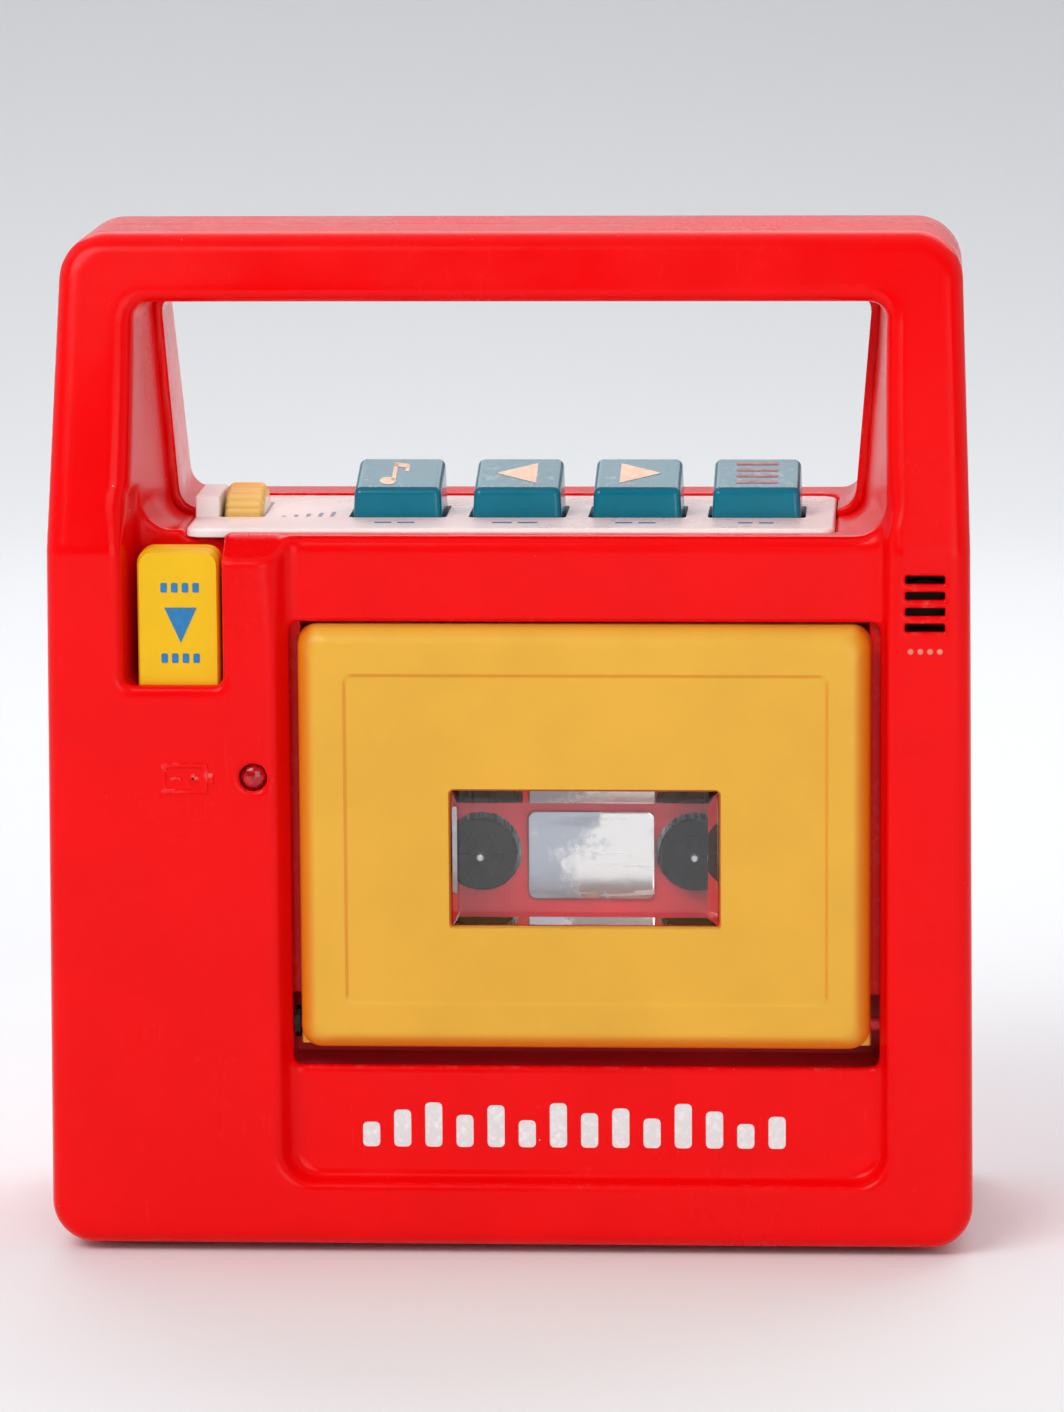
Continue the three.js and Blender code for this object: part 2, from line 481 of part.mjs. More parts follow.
function drive() {
  const { r, groove, hub, y0, y1 } = FLYWHEEL;
  const [g0, g1] = [BELT.y0 - 0.4, BELT.y1 + 0.4];
  const flywheel = turned([
    [0, -27], [1.25, -26.6], [1.25, -6.3], [hub, -6.3], [hub, y0], [r, y0], [r, g0], [groove, g0],
    [groove, g1], [r, g1], [r, y1], [0, y1],
  ], 0, 0, 28);
  place('flywheel', flywheel, BRASS, [CAPSTAN.x, 0, CAPSTAN.z]);

  const pulley = turned([
    [0, -2], [PULLEY.r, -2], [PULLEY.r, g0], [PULLEY.groove, g0], [PULLEY.groove, g1], [PULLEY.r, g1],
    [PULLEY.r, 2.3], [1, 2.3], [1, 2.7], [0, 2.7],
  ], 0, 0, 16);
  place('motor_pulley', pulley, BRASS, [MOTOR.x, 0, MOTOR.z]);

  const ring = (grow) => {
    const points = [];
    [[CAPSTAN, groove], [MOTOR, PULLEY.groove]].forEach(([centre, radius]) => {
      for (let i = 0; i < 24; i += 1) {
        const angle = (i * Math.PI) / 12;
        const reach = radius + grow;
        points.push([centre.x + reach * Math.cos(angle), centre.z + reach * Math.sin(angle)]);
      }
    });
    return points;
  };
  const band = (grow, from, to) => hull(ring(grow).flatMap(([x, z]) => [[x, from, z], [x, to, z]]));
  const slack = 0.4;
  const belt = band(slack + BELT.thick, BELT.y0, BELT.y1).subtract(band(slack, BELT.y0 - 2, BELT.y1 + 2));
  place('drive_belt', belt, RUBBER);

  // The idler wheel turns between the flywheel's hub and the take-up spindle's wheel.
  const dx = REEL_X.takeup - CAPSTAN.x;
  const dz = REEL_Z - CAPSTAN.z;
  const distance = Math.hypot(dx, dz);
  const idlerR = (distance - hub - TAKEUP_GEAR_R) / 2 - GAP;
  const along = (hub + GAP + idlerR) / distance;
  const idler = turned([[0, -6.2], [idlerR, -6.2], [idlerR, -3.4], [0, -3.4]], 0, 0, 24);
  place('idler_wheel', idler, RUBBER, [CAPSTAN.x + along * dx, 0, CAPSTAN.z + along * dz]);
}

function spindles() {
  const front = [[0, -23.2], [0.8, -23], [0.8, -22], [4.2, -21.4], [4.2, -19.6], [7.2, -19.6], [7.2, -17.6], [2.5, -17.6]];
  const takeup = turned([...front, [2.5, -6.2], [TAKEUP_GEAR_R, -6.2], [TAKEUP_GEAR_R, -3.6], [0, -3.6]], 0, 0);
  const supply = turned([...front, [2.5, -6.2], [4.5, -6.2], [4.5, -4.6], [0, -4.6]], 0, 0);
  place('takeup_spindle', takeup, BLACK, [REEL_X.takeup, 0, REEL_Z]);
  place('supply_spindle', supply, BLACK, [REEL_X.supply, 0, REEL_Z]);
}

function headParts() {
  const { x0: left, x1: right, y0, y1, z0: low, z1: high } = HEAD_SLIDE;
  place('head_slide', box(left, right, y0, y1, low, high), STEEL);
  const seat = y0 - GAP;
  const head = ({ x0, x1, z0 }) => slab('y', roundRect(x0, x1, z0, HEAD_TOP, 1.6), HEAD_FRONT, seat);
  place('play_head', head(PLAY_HEAD), SILVER);
  place('erase_head', head(ERASE_HEAD), BLACK);
  const { z, r } = PINCH_ROLLER;
  const half = 7.5;
  const armSheet = 1.4;
  const arm = box(CAPSTAN.x - half, CAPSTAN.x + half, seat - armSheet, seat, z - 5, z + 6);
  const axle = rod('y', [CAPSTAN.x, z], 1, HEAD_FRONT, seat - armSheet / 2, 10);
  place('pinch_arm', arm.add(axle), STEEL);
  const bore = rod('y', [0, 0], 1.3, PINCH_ROLLER.y0 - 1, PINCH_ROLLER.y1 + 1, 10);
  const tyre = rod('y', [0, 0], r, PINCH_ROLLER.y0, PINCH_ROLLER.y1);
  place('pinch_roller', tyre.subtract(bore), RUBBER, [CAPSTAN.x, 0, z]);
}

// ---- electrics ----
function electrics() {
  const y0 = -34.2;
  const board = box(-86, -49, y0, y0 + 1.6, 22, 86);
  const chip = box(-76, -62, y0 + 1, y0 + 5, 44, 51);
  const cans = [[-80, 34], [-70, 62], [-57, 70], [-57, 34]].map((at) => rod('y', at, 3.2, y0 + 1, y0 + 11, 12));
  const coilBlock = box(-60, -52, y0 + 1, y0 + 8, 48, 56);
  place('circuit_board', joined([board, chip, coilBlock, ...cans]), BOARD);

  const lamp = turned([[0, -HALF_DEPTH], [1.3, -37.7], [2.2, -37], [LAMP.r, -36], [LAMP.r, -31], [0, -31]], 0, 0, 16);
  place('lamp_lens', lamp, LENS, [LAMP.x, 0, LAMP.z]);
  const micZ = MIC.topZ - ((MIC.count - 1) * MIC.pitch + MIC.slot) / 2;
  place('mic_capsule', rod('y', [0, 0], 4.6, -35.1, -29, 16), STEEL, [(MIC.x0 + MIC.x1) / 2, 0, micZ]);

  const at = [SPEAKER.x, 0, SPEAKER.z];
  const rear = HALF_DEPTH - WALL - GAP;
  const frame = turned([
    [0, 10], [15, 10], [15, 19], [18, 19], [30, 31], [SPEAKER.r, 31], [SPEAKER.r, rear], [29.5, rear],
    [29.5, 33], [16, 20.6], [9, 20.6], [0, 20.6],
  ], 0, 0, 28);
  place('speaker_frame', frame, STEEL, at);
  const cone = turned([
    [0, 22], [9, 21.6], [15.4, 21.6], [28.8, 33.4], [28.8, 34.6], [15, 22.9], [9, 22.9], [7, 25], [0, 26],
  ], 0, 0, 28);
  place('speaker_cone', cone, PAPER, at);
}

function batteries() {
  const half = CELL.length / 2;
  let count = 0;
  [-CELL.x, CELL.x].forEach((x) => CELL.z.forEach((z) => {
    count += 1;
    const can = rod('x', [0, 0], CELL.r, -half, half - 1.2).add(rod('x', [0, 0], 3.2, half - 2, half, 12));
    place(`battery_${count}`, can, CELL_SKIN, [x, CELL.y, z]);
  }));
  const plateX = BATTERY_BOX.halfX - GAP;
  [['left', -1], ['right', 1]].forEach(([side, sign]) => {
    const ends = [sign * (plateX - 0.8), sign * plateX].sort((p, q) => p - q);
    const plate = box(ends[0], ends[1], 11, 31.5, 8, 55);
    const bumps = CELL.z.map((z) => {
      const tip = [sign * (CELL.x + half + GAP), sign * plateX].sort((p, q) => p - q);
      return rod('x', [CELL.y, z], 4, tip[0], tip[1], 12);
    });
    place(`battery_contact_${side}`, joined([plate, ...bumps]), STEEL);
  });
  const cover = box(-COVER.halfX, COVER.halfX, HALF_DEPTH - WALL, HALF_DEPTH, COVER.z0, COVER.z1);
  const screwHole = rod('y', [0, COVER_SCREW_Z], 1.8, 30, 50, 12);
  const headSeat = rod('y', [0, COVER_SCREW_Z], 4.2, HALF_DEPTH - 1.4, 50, 14);
  place('battery_cover', cut(cover, [screwHole, headSeat]), RED);
  const screw = turned([[0, 27], [1.1, 27.5], [1.1, 36.9], [3.9, 36.9], [3.9, HALF_DEPTH], [0, HALF_DEPTH]], 0, 0, 14);
  place('battery_cover_screw', screw, STEEL, [0, 0, COVER_SCREW_Z]);
}

caseHalves();
feet();
caseScrews();
keyPlate();
keys();
ejectButton();
volumeControl();
door();
cassetteWell();
mechanism();
drive();
spindles();
headParts();
electrics();
batteries();

export default recorder;
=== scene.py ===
"""Looks of the toy cassette tape recorder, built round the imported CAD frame.

Meshes are drawn in millimetres with z measured from the case's bottom edge, as a designer would draw them,
and are turned into metres in the row frame by to_frame(). The feet lift the case by FOOT.
"""

import math

import bmesh
import bpy
import numpy as np
from mathutils import Matrix, Vector


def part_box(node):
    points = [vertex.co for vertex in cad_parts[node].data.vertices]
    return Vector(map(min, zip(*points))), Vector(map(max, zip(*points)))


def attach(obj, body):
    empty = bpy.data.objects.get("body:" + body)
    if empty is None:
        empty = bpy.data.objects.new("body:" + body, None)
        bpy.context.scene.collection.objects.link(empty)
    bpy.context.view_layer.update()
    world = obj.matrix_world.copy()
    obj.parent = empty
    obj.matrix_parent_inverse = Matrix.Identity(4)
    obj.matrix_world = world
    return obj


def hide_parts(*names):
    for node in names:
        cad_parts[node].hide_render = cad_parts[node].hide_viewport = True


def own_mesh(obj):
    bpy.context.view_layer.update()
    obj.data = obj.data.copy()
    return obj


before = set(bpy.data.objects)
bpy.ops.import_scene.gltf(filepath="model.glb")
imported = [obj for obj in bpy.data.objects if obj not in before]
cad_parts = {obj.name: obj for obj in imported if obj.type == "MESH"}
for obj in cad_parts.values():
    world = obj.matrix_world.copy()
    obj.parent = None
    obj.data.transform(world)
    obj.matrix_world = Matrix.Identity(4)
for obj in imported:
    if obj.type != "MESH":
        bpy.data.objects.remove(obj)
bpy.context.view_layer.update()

MM = 0.001
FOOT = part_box("front_shell")[0].z / MM      # height of the case's bottom edge over the floor


def span(node):
    """A CAD node's box in millimetres over the case's bottom edge: (x0, x1, y0, y1, z0, z1)."""
    low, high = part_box(node)
    x0, y0, z0 = (v / MM for v in low)
    x1, y1, z1 = (v / MM for v in high)
    return x0, x1, y0, y1, z0 - FOOT, z1 - FOOT


def middle(node):
    x0, x1, y0, y1, z0, z1 = span(node)
    return (x0 + x1) / 2, (y0 + y1) / 2, (z0 + z1) / 2


# ---------------------------------------------------------------- case sizes
SHELL = span("front_shell")
CASE_TOP = SHELL[5]
BASE_HALF = (SHELL[1] - SHELL[0]) / 2       # half width at the bottom
CREASE_HALF = BASE_HALF - 1.15              # half width at the crease
TOP_HALF = BASE_HALF - 2.9                  # half width at the top
SIGN_RISE = 0.4                             # how far the frame's battery sign stands proud of the front
HALF_DEPTH = -SHELL[2] - SIGN_RISE
TOP_DEPTH = 20.5                            # half depth of the handle's top
CREASE_Z = 139.7                            # where front and rear start to lean in
WALL = 2.5
SEAM = 0.15                                 # each shell stops this far from the parting plane
LIP = 1.6                                   # the rear shell's rim stands this far into the grip hole
GRIP_Z = 186.8                              # underside of the handle bar
DECK_Z = 141.8
GRILLE = {"pitch": 6.0, "rows": 4, "radius": 29.0, "half_slot": 1.4}
KEYS = ("play_key", "forward_key", "rewind_key", "record_key")
RECESS = {"x0": -45.8, "x1": 74.6, "z0": 13.0, "y": -33.0}
POCKET = {"x0": -43.2, "x1": 73.0, "z0": 35.8, "z1": 124.9}
EJECT_POCKET = {"x0": -75.8, "x1": -55.9, "z0": 112.8, "y": -24.0}
CASE_SCREWS = [middle(f"case_screw_{i}") for i in range(1, 5)]


# ---------------------------------------------------------------- signed fields
# A field gives the distance in millimetres from points to a surface, negative inside.
def meet(a, b, r):
    """Both a and b, with the edge between them rounded to radius r."""
    u = np.maximum(a + r, 0)
    v = np.maximum(b + r, 0)
    return np.minimum(-r, np.maximum(a, b)) + np.sqrt(u * u + v * v)


def weld(a, b, r):
    """Either a or b, with the corner between them filled to radius r."""
    return -meet(-a, -b, r)


def carve(a, b, r):
    """a without b, with the new edge rounded to radius r."""
    return meet(a, -b, r)


def block(x, y, z, x0, x1, y0, y1, z0, z1, r):
    """A box with its upright edges (along y) rounded to r, and the others to 0.4."""
    flat = meet(np.abs(x - (x0 + x1) / 2) - (x1 - x0) / 2, np.abs(z - (z0 + z1) / 2) - (z1 - z0) / 2, r)
    return meet(flat, np.abs(y - (y0 + y1) / 2) - (y1 - y0) / 2, 0.4)


def post(x, z, centre, radius):
    return np.hypot(x - centre[0], z - centre[2]) - radius


def ease(v, low, high):
    t = np.clip((v - low) / (high - low), 0, 1)
    return t * t * (3 - 2 * t)


def lean_planes(half_low, half_mid, half_high, v, z):
    """Two leaning planes, at v = half_low at the bottom, half_mid at the crease, half_high at the top."""
    low_slope = (half_low - half_mid) / CREASE_Z
    high_slope = (half_mid - half_high) / (CASE_TOP - CREASE_Z)
    low = (v - half_low + low_slope * z) / math.hypot(1, low_slope)
    high = (v - half_mid + high_slope * (z - CREASE_Z)) / math.hypot(1, high_slope)
    return np.maximum(low, high)


def case_form(x, y, z):
    """The case as one closed form, before it is hollowed and split."""
    ax = np.abs(x)
    ay = np.abs(y)
    sides = lean_planes(BASE_HALF, CREASE_HALF, TOP_HALF, ax, z)
    faces = lean_planes(HALF_DEPTH, HALF_DEPTH, TOP_DEPTH, ay, z)
    outline = meet(meet(sides, -z, 8.5), z - CASE_TOP, 9.0)
    form = meet(outline, faces, 3.6)

    # the hole under the handle bar: it narrows towards the deck, and the rear shell stands a little proud
    lip = LIP * (y > 0)
    high = 72.9 + np.where(y < 0, 2.2, 0.6) * ay / HALF_DEPTH - lip
    low = 69.2 + np.where(y < 0, 5.9, 1.3) * ay / HALF_DEPTH - lip
    half = low + (high - low) * (z - DECK_Z) / (GRIP_Z - DECK_Z)
    corner = 4.0 + 2.0 * ease(-y, 0, 15)
    hole = meet(meet(ax - half, z - GRIP_Z + 0.5 * lip, 3.5), DECK_Z + 0.7 * lip - z, corner)

    # the pocket that the eject button slides in runs up into that hole
    pocket = EJECT_POCKET
    left = pocket["x0"] + 0.155 * (y + HALF_DEPTH) - x
    across = meet(left, x - pocket["x1"], 0.5)
    slot = meet(meet(across, pocket["z0"] - z, 1.5), y - pocket["y"], 1.0)
    hole = np.minimum(hole, meet(slot, z - 152, 3.0))
    form = carve(form, hole, 3.4 - 1.8 * ease(-z, -150, -138))

    # the shallow recess that frames the door, with a drafted cove along its left side
    left = RECESS["x0"] + 0.5 * (y + HALF_DEPTH) - x
    right = x - RECESS["x1"] + 0.2 * (y + HALF_DEPTH)
    recess = meet(meet(meet(left, right, 1.0), RECESS["z0"] - z, 6.0), y - RECESS["y"], 1.6)
    form = carve(form, recess, 1.2 + 1.6 * ease(z, 120, 138))

    # the sloping top of the post between the pocket and the recess
    slope = 0.5375
    above = (137.5 + slope * (y + HALF_DEPTH) - z) / math.hypot(1, slope)
    wedge = meet(meet(above, np.abs(x + 50.8) - 6.4, 0.5), y + 29.5, 0.5)
    return carve(form, wedge, 1.0)


def plate_seat(x, y, z):
    x0, x1, y0, y1, z0, _ = span("key_plate")
    gap = 0.25
    flat = meet(np.abs(x) - x1 - gap, np.abs(y - (y0 + y1) / 2) - (y1 - y0) / 2 - gap, 3.2)
    seat = np.maximum(flat, np.abs(z - z0 - 4.7) - 5)
    under = np.maximum(np.maximum(np.abs(x) - 60.5, np.abs(y + 1) - 21), np.abs(z - 138) - 8)
    return np.minimum(seat, under)


def shells(x, y, z):
    form = case_form(x, y, z)
    shell = np.maximum(form, -(form + WALL))
    for centre in CASE_SCREWS:
        pillar = np.maximum(post(x, z, centre, 4.5), np.abs(y) - 36)
        shell = weld(shell, pillar, 0.8)
    return np.maximum(shell, -plate_seat(x, y, z))


def foot_seats(x, y, z):
    seats = [np.maximum(np.hypot(x - middle(f"foot_{i}")[0], y - middle(f"foot_{i}")[1]) - 5.3, z - 0.8)
             for i in range(1, 5)]
    return np.minimum.reduce(seats)


def front_field(x, y, z):
    shell = carve(shells(x, y, z), foot_seats(x, y, z), 0.3)
    shell = meet(shell, y + SEAM, 0.35)
    door = block(x, y, z, POCKET["x0"], POCKET["x1"], -40, -20, POCKET["z0"], POCKET["z1"], 2.0)
    shell = carve(shell, door, 0.7)
    x0, x1, y0, y1, z0, _ = span("eject_button")
    under = block(x, y, z, x0 - 0.6, x1 + 0.6, y0 - 0.3, y1 + 1.0, 100, 120, 0.6)
    shell = np.maximum(shell, -under)
    shell = np.minimum(shell, block(x, y, z, -70, -59, -36, -27, 88.6, 90.4, 0.5))
    for i in range(4):
        top = 134.9 - 3.15 * i
        shell = carve(shell, block(x, y, z, 77.8, 85.6, -45, -33, top - 1.7, top, 0.3), 0.25)
    lamp = middle("lamp_lens")
    shell = carve(shell, np.maximum(post(x, z, lamp, 2.75), y + 28), 0.4)
    for centre in CASE_SCREWS:
        shell = np.maximum(shell, -np.maximum(post(x, z, centre, 1.5), -y - 20))
    return shell


def rear_field(x, y, z):
    shell = carve(shells(x, y, z), foot_seats(x, y, z), 0.3)
    shell = meet(shell, SEAM - y, 0.35)
    # the battery box and the opening that its cover closes
    x0, x1, _, _, z0, z1 = span("battery_cover")
    room = block(x, y, z, -58.8, 58.8, 7, 36, 3.2, 59.4, 1.0)
    box = np.maximum(block(x, y, z, -60.6, 60.6, 5.2, 36, 1.4, 61.2, 1.5), -room)
    walls = np.maximum(box, case_form(x, y, z) + 1)
    shell = np.minimum(np.maximum(shell, -np.maximum(room, y - 35.5)), walls)
    screw = middle("battery_cover_screw")
    shell = np.minimum(shell, np.maximum(np.maximum(post(x, z, screw, 3.5), y - 32), 6 - y))
    opening = block(x, y, z, x0 - 0.3, x1 + 0.3, 35, 50, z0 - 0.3, z1 + 0.3, 1.0)
    shell = carve(shell, opening, 0.5)
    shell = np.maximum(shell, -np.maximum(post(x, z, screw, 1.3), 20 - y))
    for centre in CASE_SCREWS:
        shell = carve(shell, np.maximum(post(x, z, centre, 3.7), 14 - y), 0.5)
        shell = np.maximum(shell, -post(x, z, centre, 1.8))
    # speaker grille: level slots that fill a circle
    sx, _, sz = middle("speaker_frame")
    row = np.clip(np.round((z - sz) / GRILLE["pitch"]), -GRILLE["rows"], GRILLE["rows"])
    away = row * GRILLE["pitch"]
    reach = np.sqrt(GRILLE["radius"] ** 2 - away ** 2)
    slot = meet(np.abs(z - sz - away) - GRILLE["half_slot"], np.abs(x - sx) - reach, 1.3)
    return carve(shell, np.maximum(slot, 34 - y), 0.5)


# ---------------------------------------------------------------- surface from a field
def axis_steps(low, high, step, fine=()):
    """Grid lines from low to high, with smaller steps in the fine stretches (from, to, step)."""
    lines = [low]
    while lines[-1] < high:
        here = [s for a, b, s in fine if a <= lines[-1] < b]
        lines.append(lines[-1] + (here[0] if here else step))
    while (len(lines) - 1) % 8:
        lines.append(lines[-1] + step)
    return np.array(lines, np.float32)


def surface_net(field, xs, ys, zs):
    """Vertices and quads of the field's zero surface: one vertex in each grid cell that it crosses."""
    counts = [(len(v) - 1) // 8 for v in (xs, ys, zs)]
    blocks = np.stack(np.meshgrid(*[np.arange(n) for n in counts], indexing="ij"), -1).reshape(-1, 3)
    lows = np.stack([v[blocks[:, a] * 8] for a, v in enumerate((xs, ys, zs))], -1)
    highs = np.stack([v[blocks[:, a] * 8 + 8] for a, v in enumerate((xs, ys, zs))], -1)
    centres = (lows + highs) / 2
    reach = np.linalg.norm(highs - lows, axis=1) / 2 * 1.3 + 0.5
    blocks = blocks[np.abs(field(*centres.T)) <= reach]

    nine = np.arange(9)
    px, py, pz = (v[blocks[:, a, None] * 8 + nine] for a, v in enumerate((xs, ys, zs)))
    values = field(px[:, :, None, None], py[:, None, :, None], pz[:, None, None, :]).astype(np.float32)
    inside = values < 0
    corner_steps = [(i, j, k) for i in (0, 1) for j in (0, 1) for k in (0, 1)]
    total = sum(inside[:, i:8 + i, j:8 + j, k:8 + k].astype(np.int8) for i, j, k in corner_steps)
    b, i, j, k = np.nonzero((total > 0) & (total < 8))
    spread = (len(ys) + 1) * (len(zs) + 1)
    cell_id = lambda b, i, j, k: ((blocks[b, 0] * 8 + i) * spread
                                  + (blocks[b, 1] * 8 + j) * (len(zs) + 1) + blocks[b, 2] * 8 + k)
    ids = cell_id(b, i, j, k)
    order = np.argsort(ids)
    b, i, j, k, ids = (v[order] for v in (b, i, j, k, ids))

    # start each vertex at the mean of its edge crossings
    at = {c: np.stack([px[b, i + c[0]], py[b, j + c[1]], pz[b, k + c[2]]], -1) for c in corner_steps}
    val = {c: values[b, i + c[0], j + c[1], k + c[2]] for c in corner_steps}
    crossings = np.zeros((len(b), 3))
    found = np.zeros(len(b))
    for c in corner_steps:
        for a in range(3):
            if c[a]:
                continue
            d = tuple(v + (n == a) for n, v in enumerate(c))
            hit = (val[c] < 0) != (val[d] < 0)
            t = val[c] / np.where(hit, val[c] - val[d], 1)
            crossings += np.where(hit[:, None], at[c] + t[:, None] * (at[d] - at[c]), 0)
            found += hit
    verts = crossings / found[:, None]

    # then pull it onto the surface
    start = verts.copy()
    size = np.linalg.norm(at[(1, 1, 1)] - at[(0, 0, 0)], axis=1)[:, None] * 0.45
    h = 0.02
    for _ in range(4):
        here = field(*verts.T)
        rise = [field(*(verts + h * axis).T) - field(*(verts - h * axis).T) for axis in np.eye(3)]
        slope = np.stack([r / (2 * h) for r in rise], -1)
        verts = verts - slope * (here / np.maximum((slope ** 2).sum(1), 0.2))[:, None]
        shift = verts - start
        length = np.linalg.norm(shift, axis=1)[:, None]
        verts = start + shift * np.minimum(1, size / np.maximum(length, 1e-9))

    quads = []
    for a in range(3):
        nxt, last = (a + 1) % 3, (a + 2) % 3
        near = inside[:, :8, :8, :8]
        far_slice = [slice(0, 8)] * 3
        far_slice[a] = slice(1, 9)
        far = inside[(slice(None), *far_slice)]
        bb, *corner = np.nonzero(near != far)
        rising = near[(bb, *corner)]
        ring = []
        for du, dv in ((-1, -1), (0, -1), (0, 0), (-1, 0)):
            cell = [c.copy() for c in corner]
            cell[nxt] = cell[nxt] + du
            cell[last] = cell[last] + dv
            ring.append(np.searchsorted(ids, cell_id(bb, *cell)))
        quad = np.stack(ring, -1)
        quads.append(np.where(rising[:, None], quad, quad[:, ::-1]))
    return verts, np.concatenate(quads)


# ---------------------------------------------------------------- mesh helpers
def to_frame(points):
    """Design millimetres to metres in the row frame."""
    return (np.asarray(points, float).reshape(-1, 3) + (0, 0, FOOT)) * MM


def finish_piece(obj, body, material, node=None):
    obj.data.materials.clear()
    obj.data.materials.append(material)
    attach(obj, body)
    if node:
        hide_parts(*([node] if isinstance(node, str) else node))
    return obj


def mesh_piece(name, points, faces, smooth=True):
    mesh = bpy.data.meshes.new(name)
    mesh.from_pydata(to_frame(points).tolist(), [], [list(map(int, f)) for f in faces])
    mesh.validate()
    mesh.polygons.foreach_set("use_smooth", [smooth] * len(mesh.polygons))
    obj = bpy.data.objects.new(name, mesh)
    bpy.context.scene.collection.objects.link(obj)
    return obj


def weighted(obj, angle=40):
    """Sharp edges above an angle, and normals that keep flat faces flat."""
    obj.data.set_sharp_from_angle(angle=math.radians(angle))
    mod = obj.modifiers.new("normals", "WEIGHTED_NORMAL")
    mod.keep_sharp = True
    return obj


def round_rect(x0, x1, z0, z1, r, arc=6, straight=6):
    """Points round a rectangle with arc corners, the same number for every rectangle."""
    r = max(min(r, (x1 - x0) / 2, (z1 - z0) / 2), 1e-3)
    centres = [(x1 - r, z0 + r, -90), (x1 - r, z1 - r, 0), (x0 + r, z1 - r, 90), (x0 + r, z0 + r, 180)]
    points = []
    for n, (cx, cz, start) in enumerate(centres):
        for i in range(arc + 1):
            angle = math.radians(start + 90 * i / arc)
            points.append((cx + r * math.cos(angle), cz + r * math.sin(angle)))
        nx, nz, nstart = centres[(n + 1) % 4]
        here = points[-1]
        there = (nx + r * math.cos(math.radians(nstart)), nz + r * math.sin(math.radians(nstart)))
        for i in range(1, straight):
            t = i / straight
            points.append((here[0] + (there[0] - here[0]) * t, here[1] + (there[1] - here[1]) * t))
    return points


def loft(name, rings, closed=False):
    """Joins rings of points with quads. A closed loft meets its first ring again; an open one is capped."""
    count = len(rings[0])
    points = [p for ring in rings for p in ring]
    faces = []
    pairs = len(rings) if closed else len(rings) - 1
    for r in range(pairs):
        a, b = r * count, (r + 1) % len(rings) * count
        faces += [(a + i, a + (i + 1) % count, b + (i + 1) % count, b + i) for i in range(count)]
    if not closed:
        faces.append(tuple(range(count - 1, -1, -1)))
        faces.append(tuple(range((len(rings) - 1) * count, len(rings) * count)))
    obj = mesh_piece(name, points, faces)
    recalc(obj)
    return weighted(obj)


def recalc(obj):
    bm = bmesh.new()
    bm.from_mesh(obj.data)
    bmesh.ops.recalc_face_normals(bm, faces=bm.faces)
    bm.to_mesh(obj.data)
    bm.free()


def frame_ring(box, r, y):
    return [(px, y, pz) for px, pz in round_rect(*box, r)]


def inset(box, d):
    x0, x1, z0, z1 = box
    return x0 + d, x1 - d, z0 + d, z1 - d


def rings_at(box, steps):
    """Rings at (inset, corner radius, depth) steps from a box."""
    return [frame_ring(inset(box, d), r, y) for d, r, y in steps]


def quarter(steps):
    """Sine and cosine pairs from 0 to 90 degrees."""
    return [(math.sin(math.pi / 2 * i / steps), math.cos(math.pi / 2 * i / steps)) for i in range(steps + 1)]


def turned(name, profile, centre, axis="y", sides=48):
    """Turns (radius, distance along the axis) points round an axis; the profile starts and ends on it."""
    rings = []
    for radius, along in profile:
        ring = []
        for i in range(sides):
            angle = 2 * math.pi * i / sides
            u, v = max(radius, 1e-3) * math.cos(angle), max(radius, 1e-3) * math.sin(angle)
            offset = {"x": (along, u, v), "y": (u, along, v), "z": (u, v, along)}[axis]
            ring.append(tuple(c + o for c, o in zip(centre, offset)))
        rings.append(ring)
    return loft(name, rings)


def soft_block(name, corners, upright=1.5, rim=1.0, base=0.3, segments=4):
    """A six-sided block with its upright edges, its top rim and its bottom rim rounded.

    The corners are the bottom four, then the top four, both anticlockwise from above.
    """
    mesh = bpy.data.meshes.new(name)
    bm = bmesh.new()
    verts = [bm.verts.new(p) for p in to_frame(corners)]
    sides = [(i, (i + 1) % 4, 4 + (i + 1) % 4, 4 + i) for i in range(4)]
    for face in [(3, 2, 1, 0), (4, 5, 6, 7), *sides]:
        bm.faces.new([verts[i] for i in face])
    top = set(verts[4:])

    def bevel(edges, width):
        return bmesh.ops.bevel(bm, geom=list(edges), offset=width * MM, segments=segments, profile=0.5,
                               affect="EDGES", clamp_overlap=True)

    upright_edges = [e for e in bm.edges if (e.verts[0] in top) != (e.verts[1] in top)]
    bevel(upright_edges, upright)
    bm.normal_update()
    flat = sorted(bm.faces, key=lambda f: len(f.verts), reverse=True)[:2]
    flat.sort(key=lambda f: f.calc_center_median().z)
    bevel(flat[1].edges, rim)
    bm.normal_update()
    low = min((f for f in bm.faces if len(f.verts) > 4), key=lambda f: f.calc_center_median().z)
    bevel(low.edges, base)
    bm.to_mesh(mesh)
    bm.free()
    mesh.polygons.foreach_set("use_smooth", [True] * len(mesh.polygons))
    obj = bpy.data.objects.new(name, mesh)
    bpy.context.scene.collection.objects.link(obj)
    return weighted(obj)


def box_corners(x0, x1, y0, y1, z0, z1):
    return [(x0, y0, z0), (x1, y0, z0), (x1, y1, z0), (x0, y1, z0),
            (x0, y0, z1), (x1, y0, z1), (x1, y1, z1), (x0, y1, z1)]


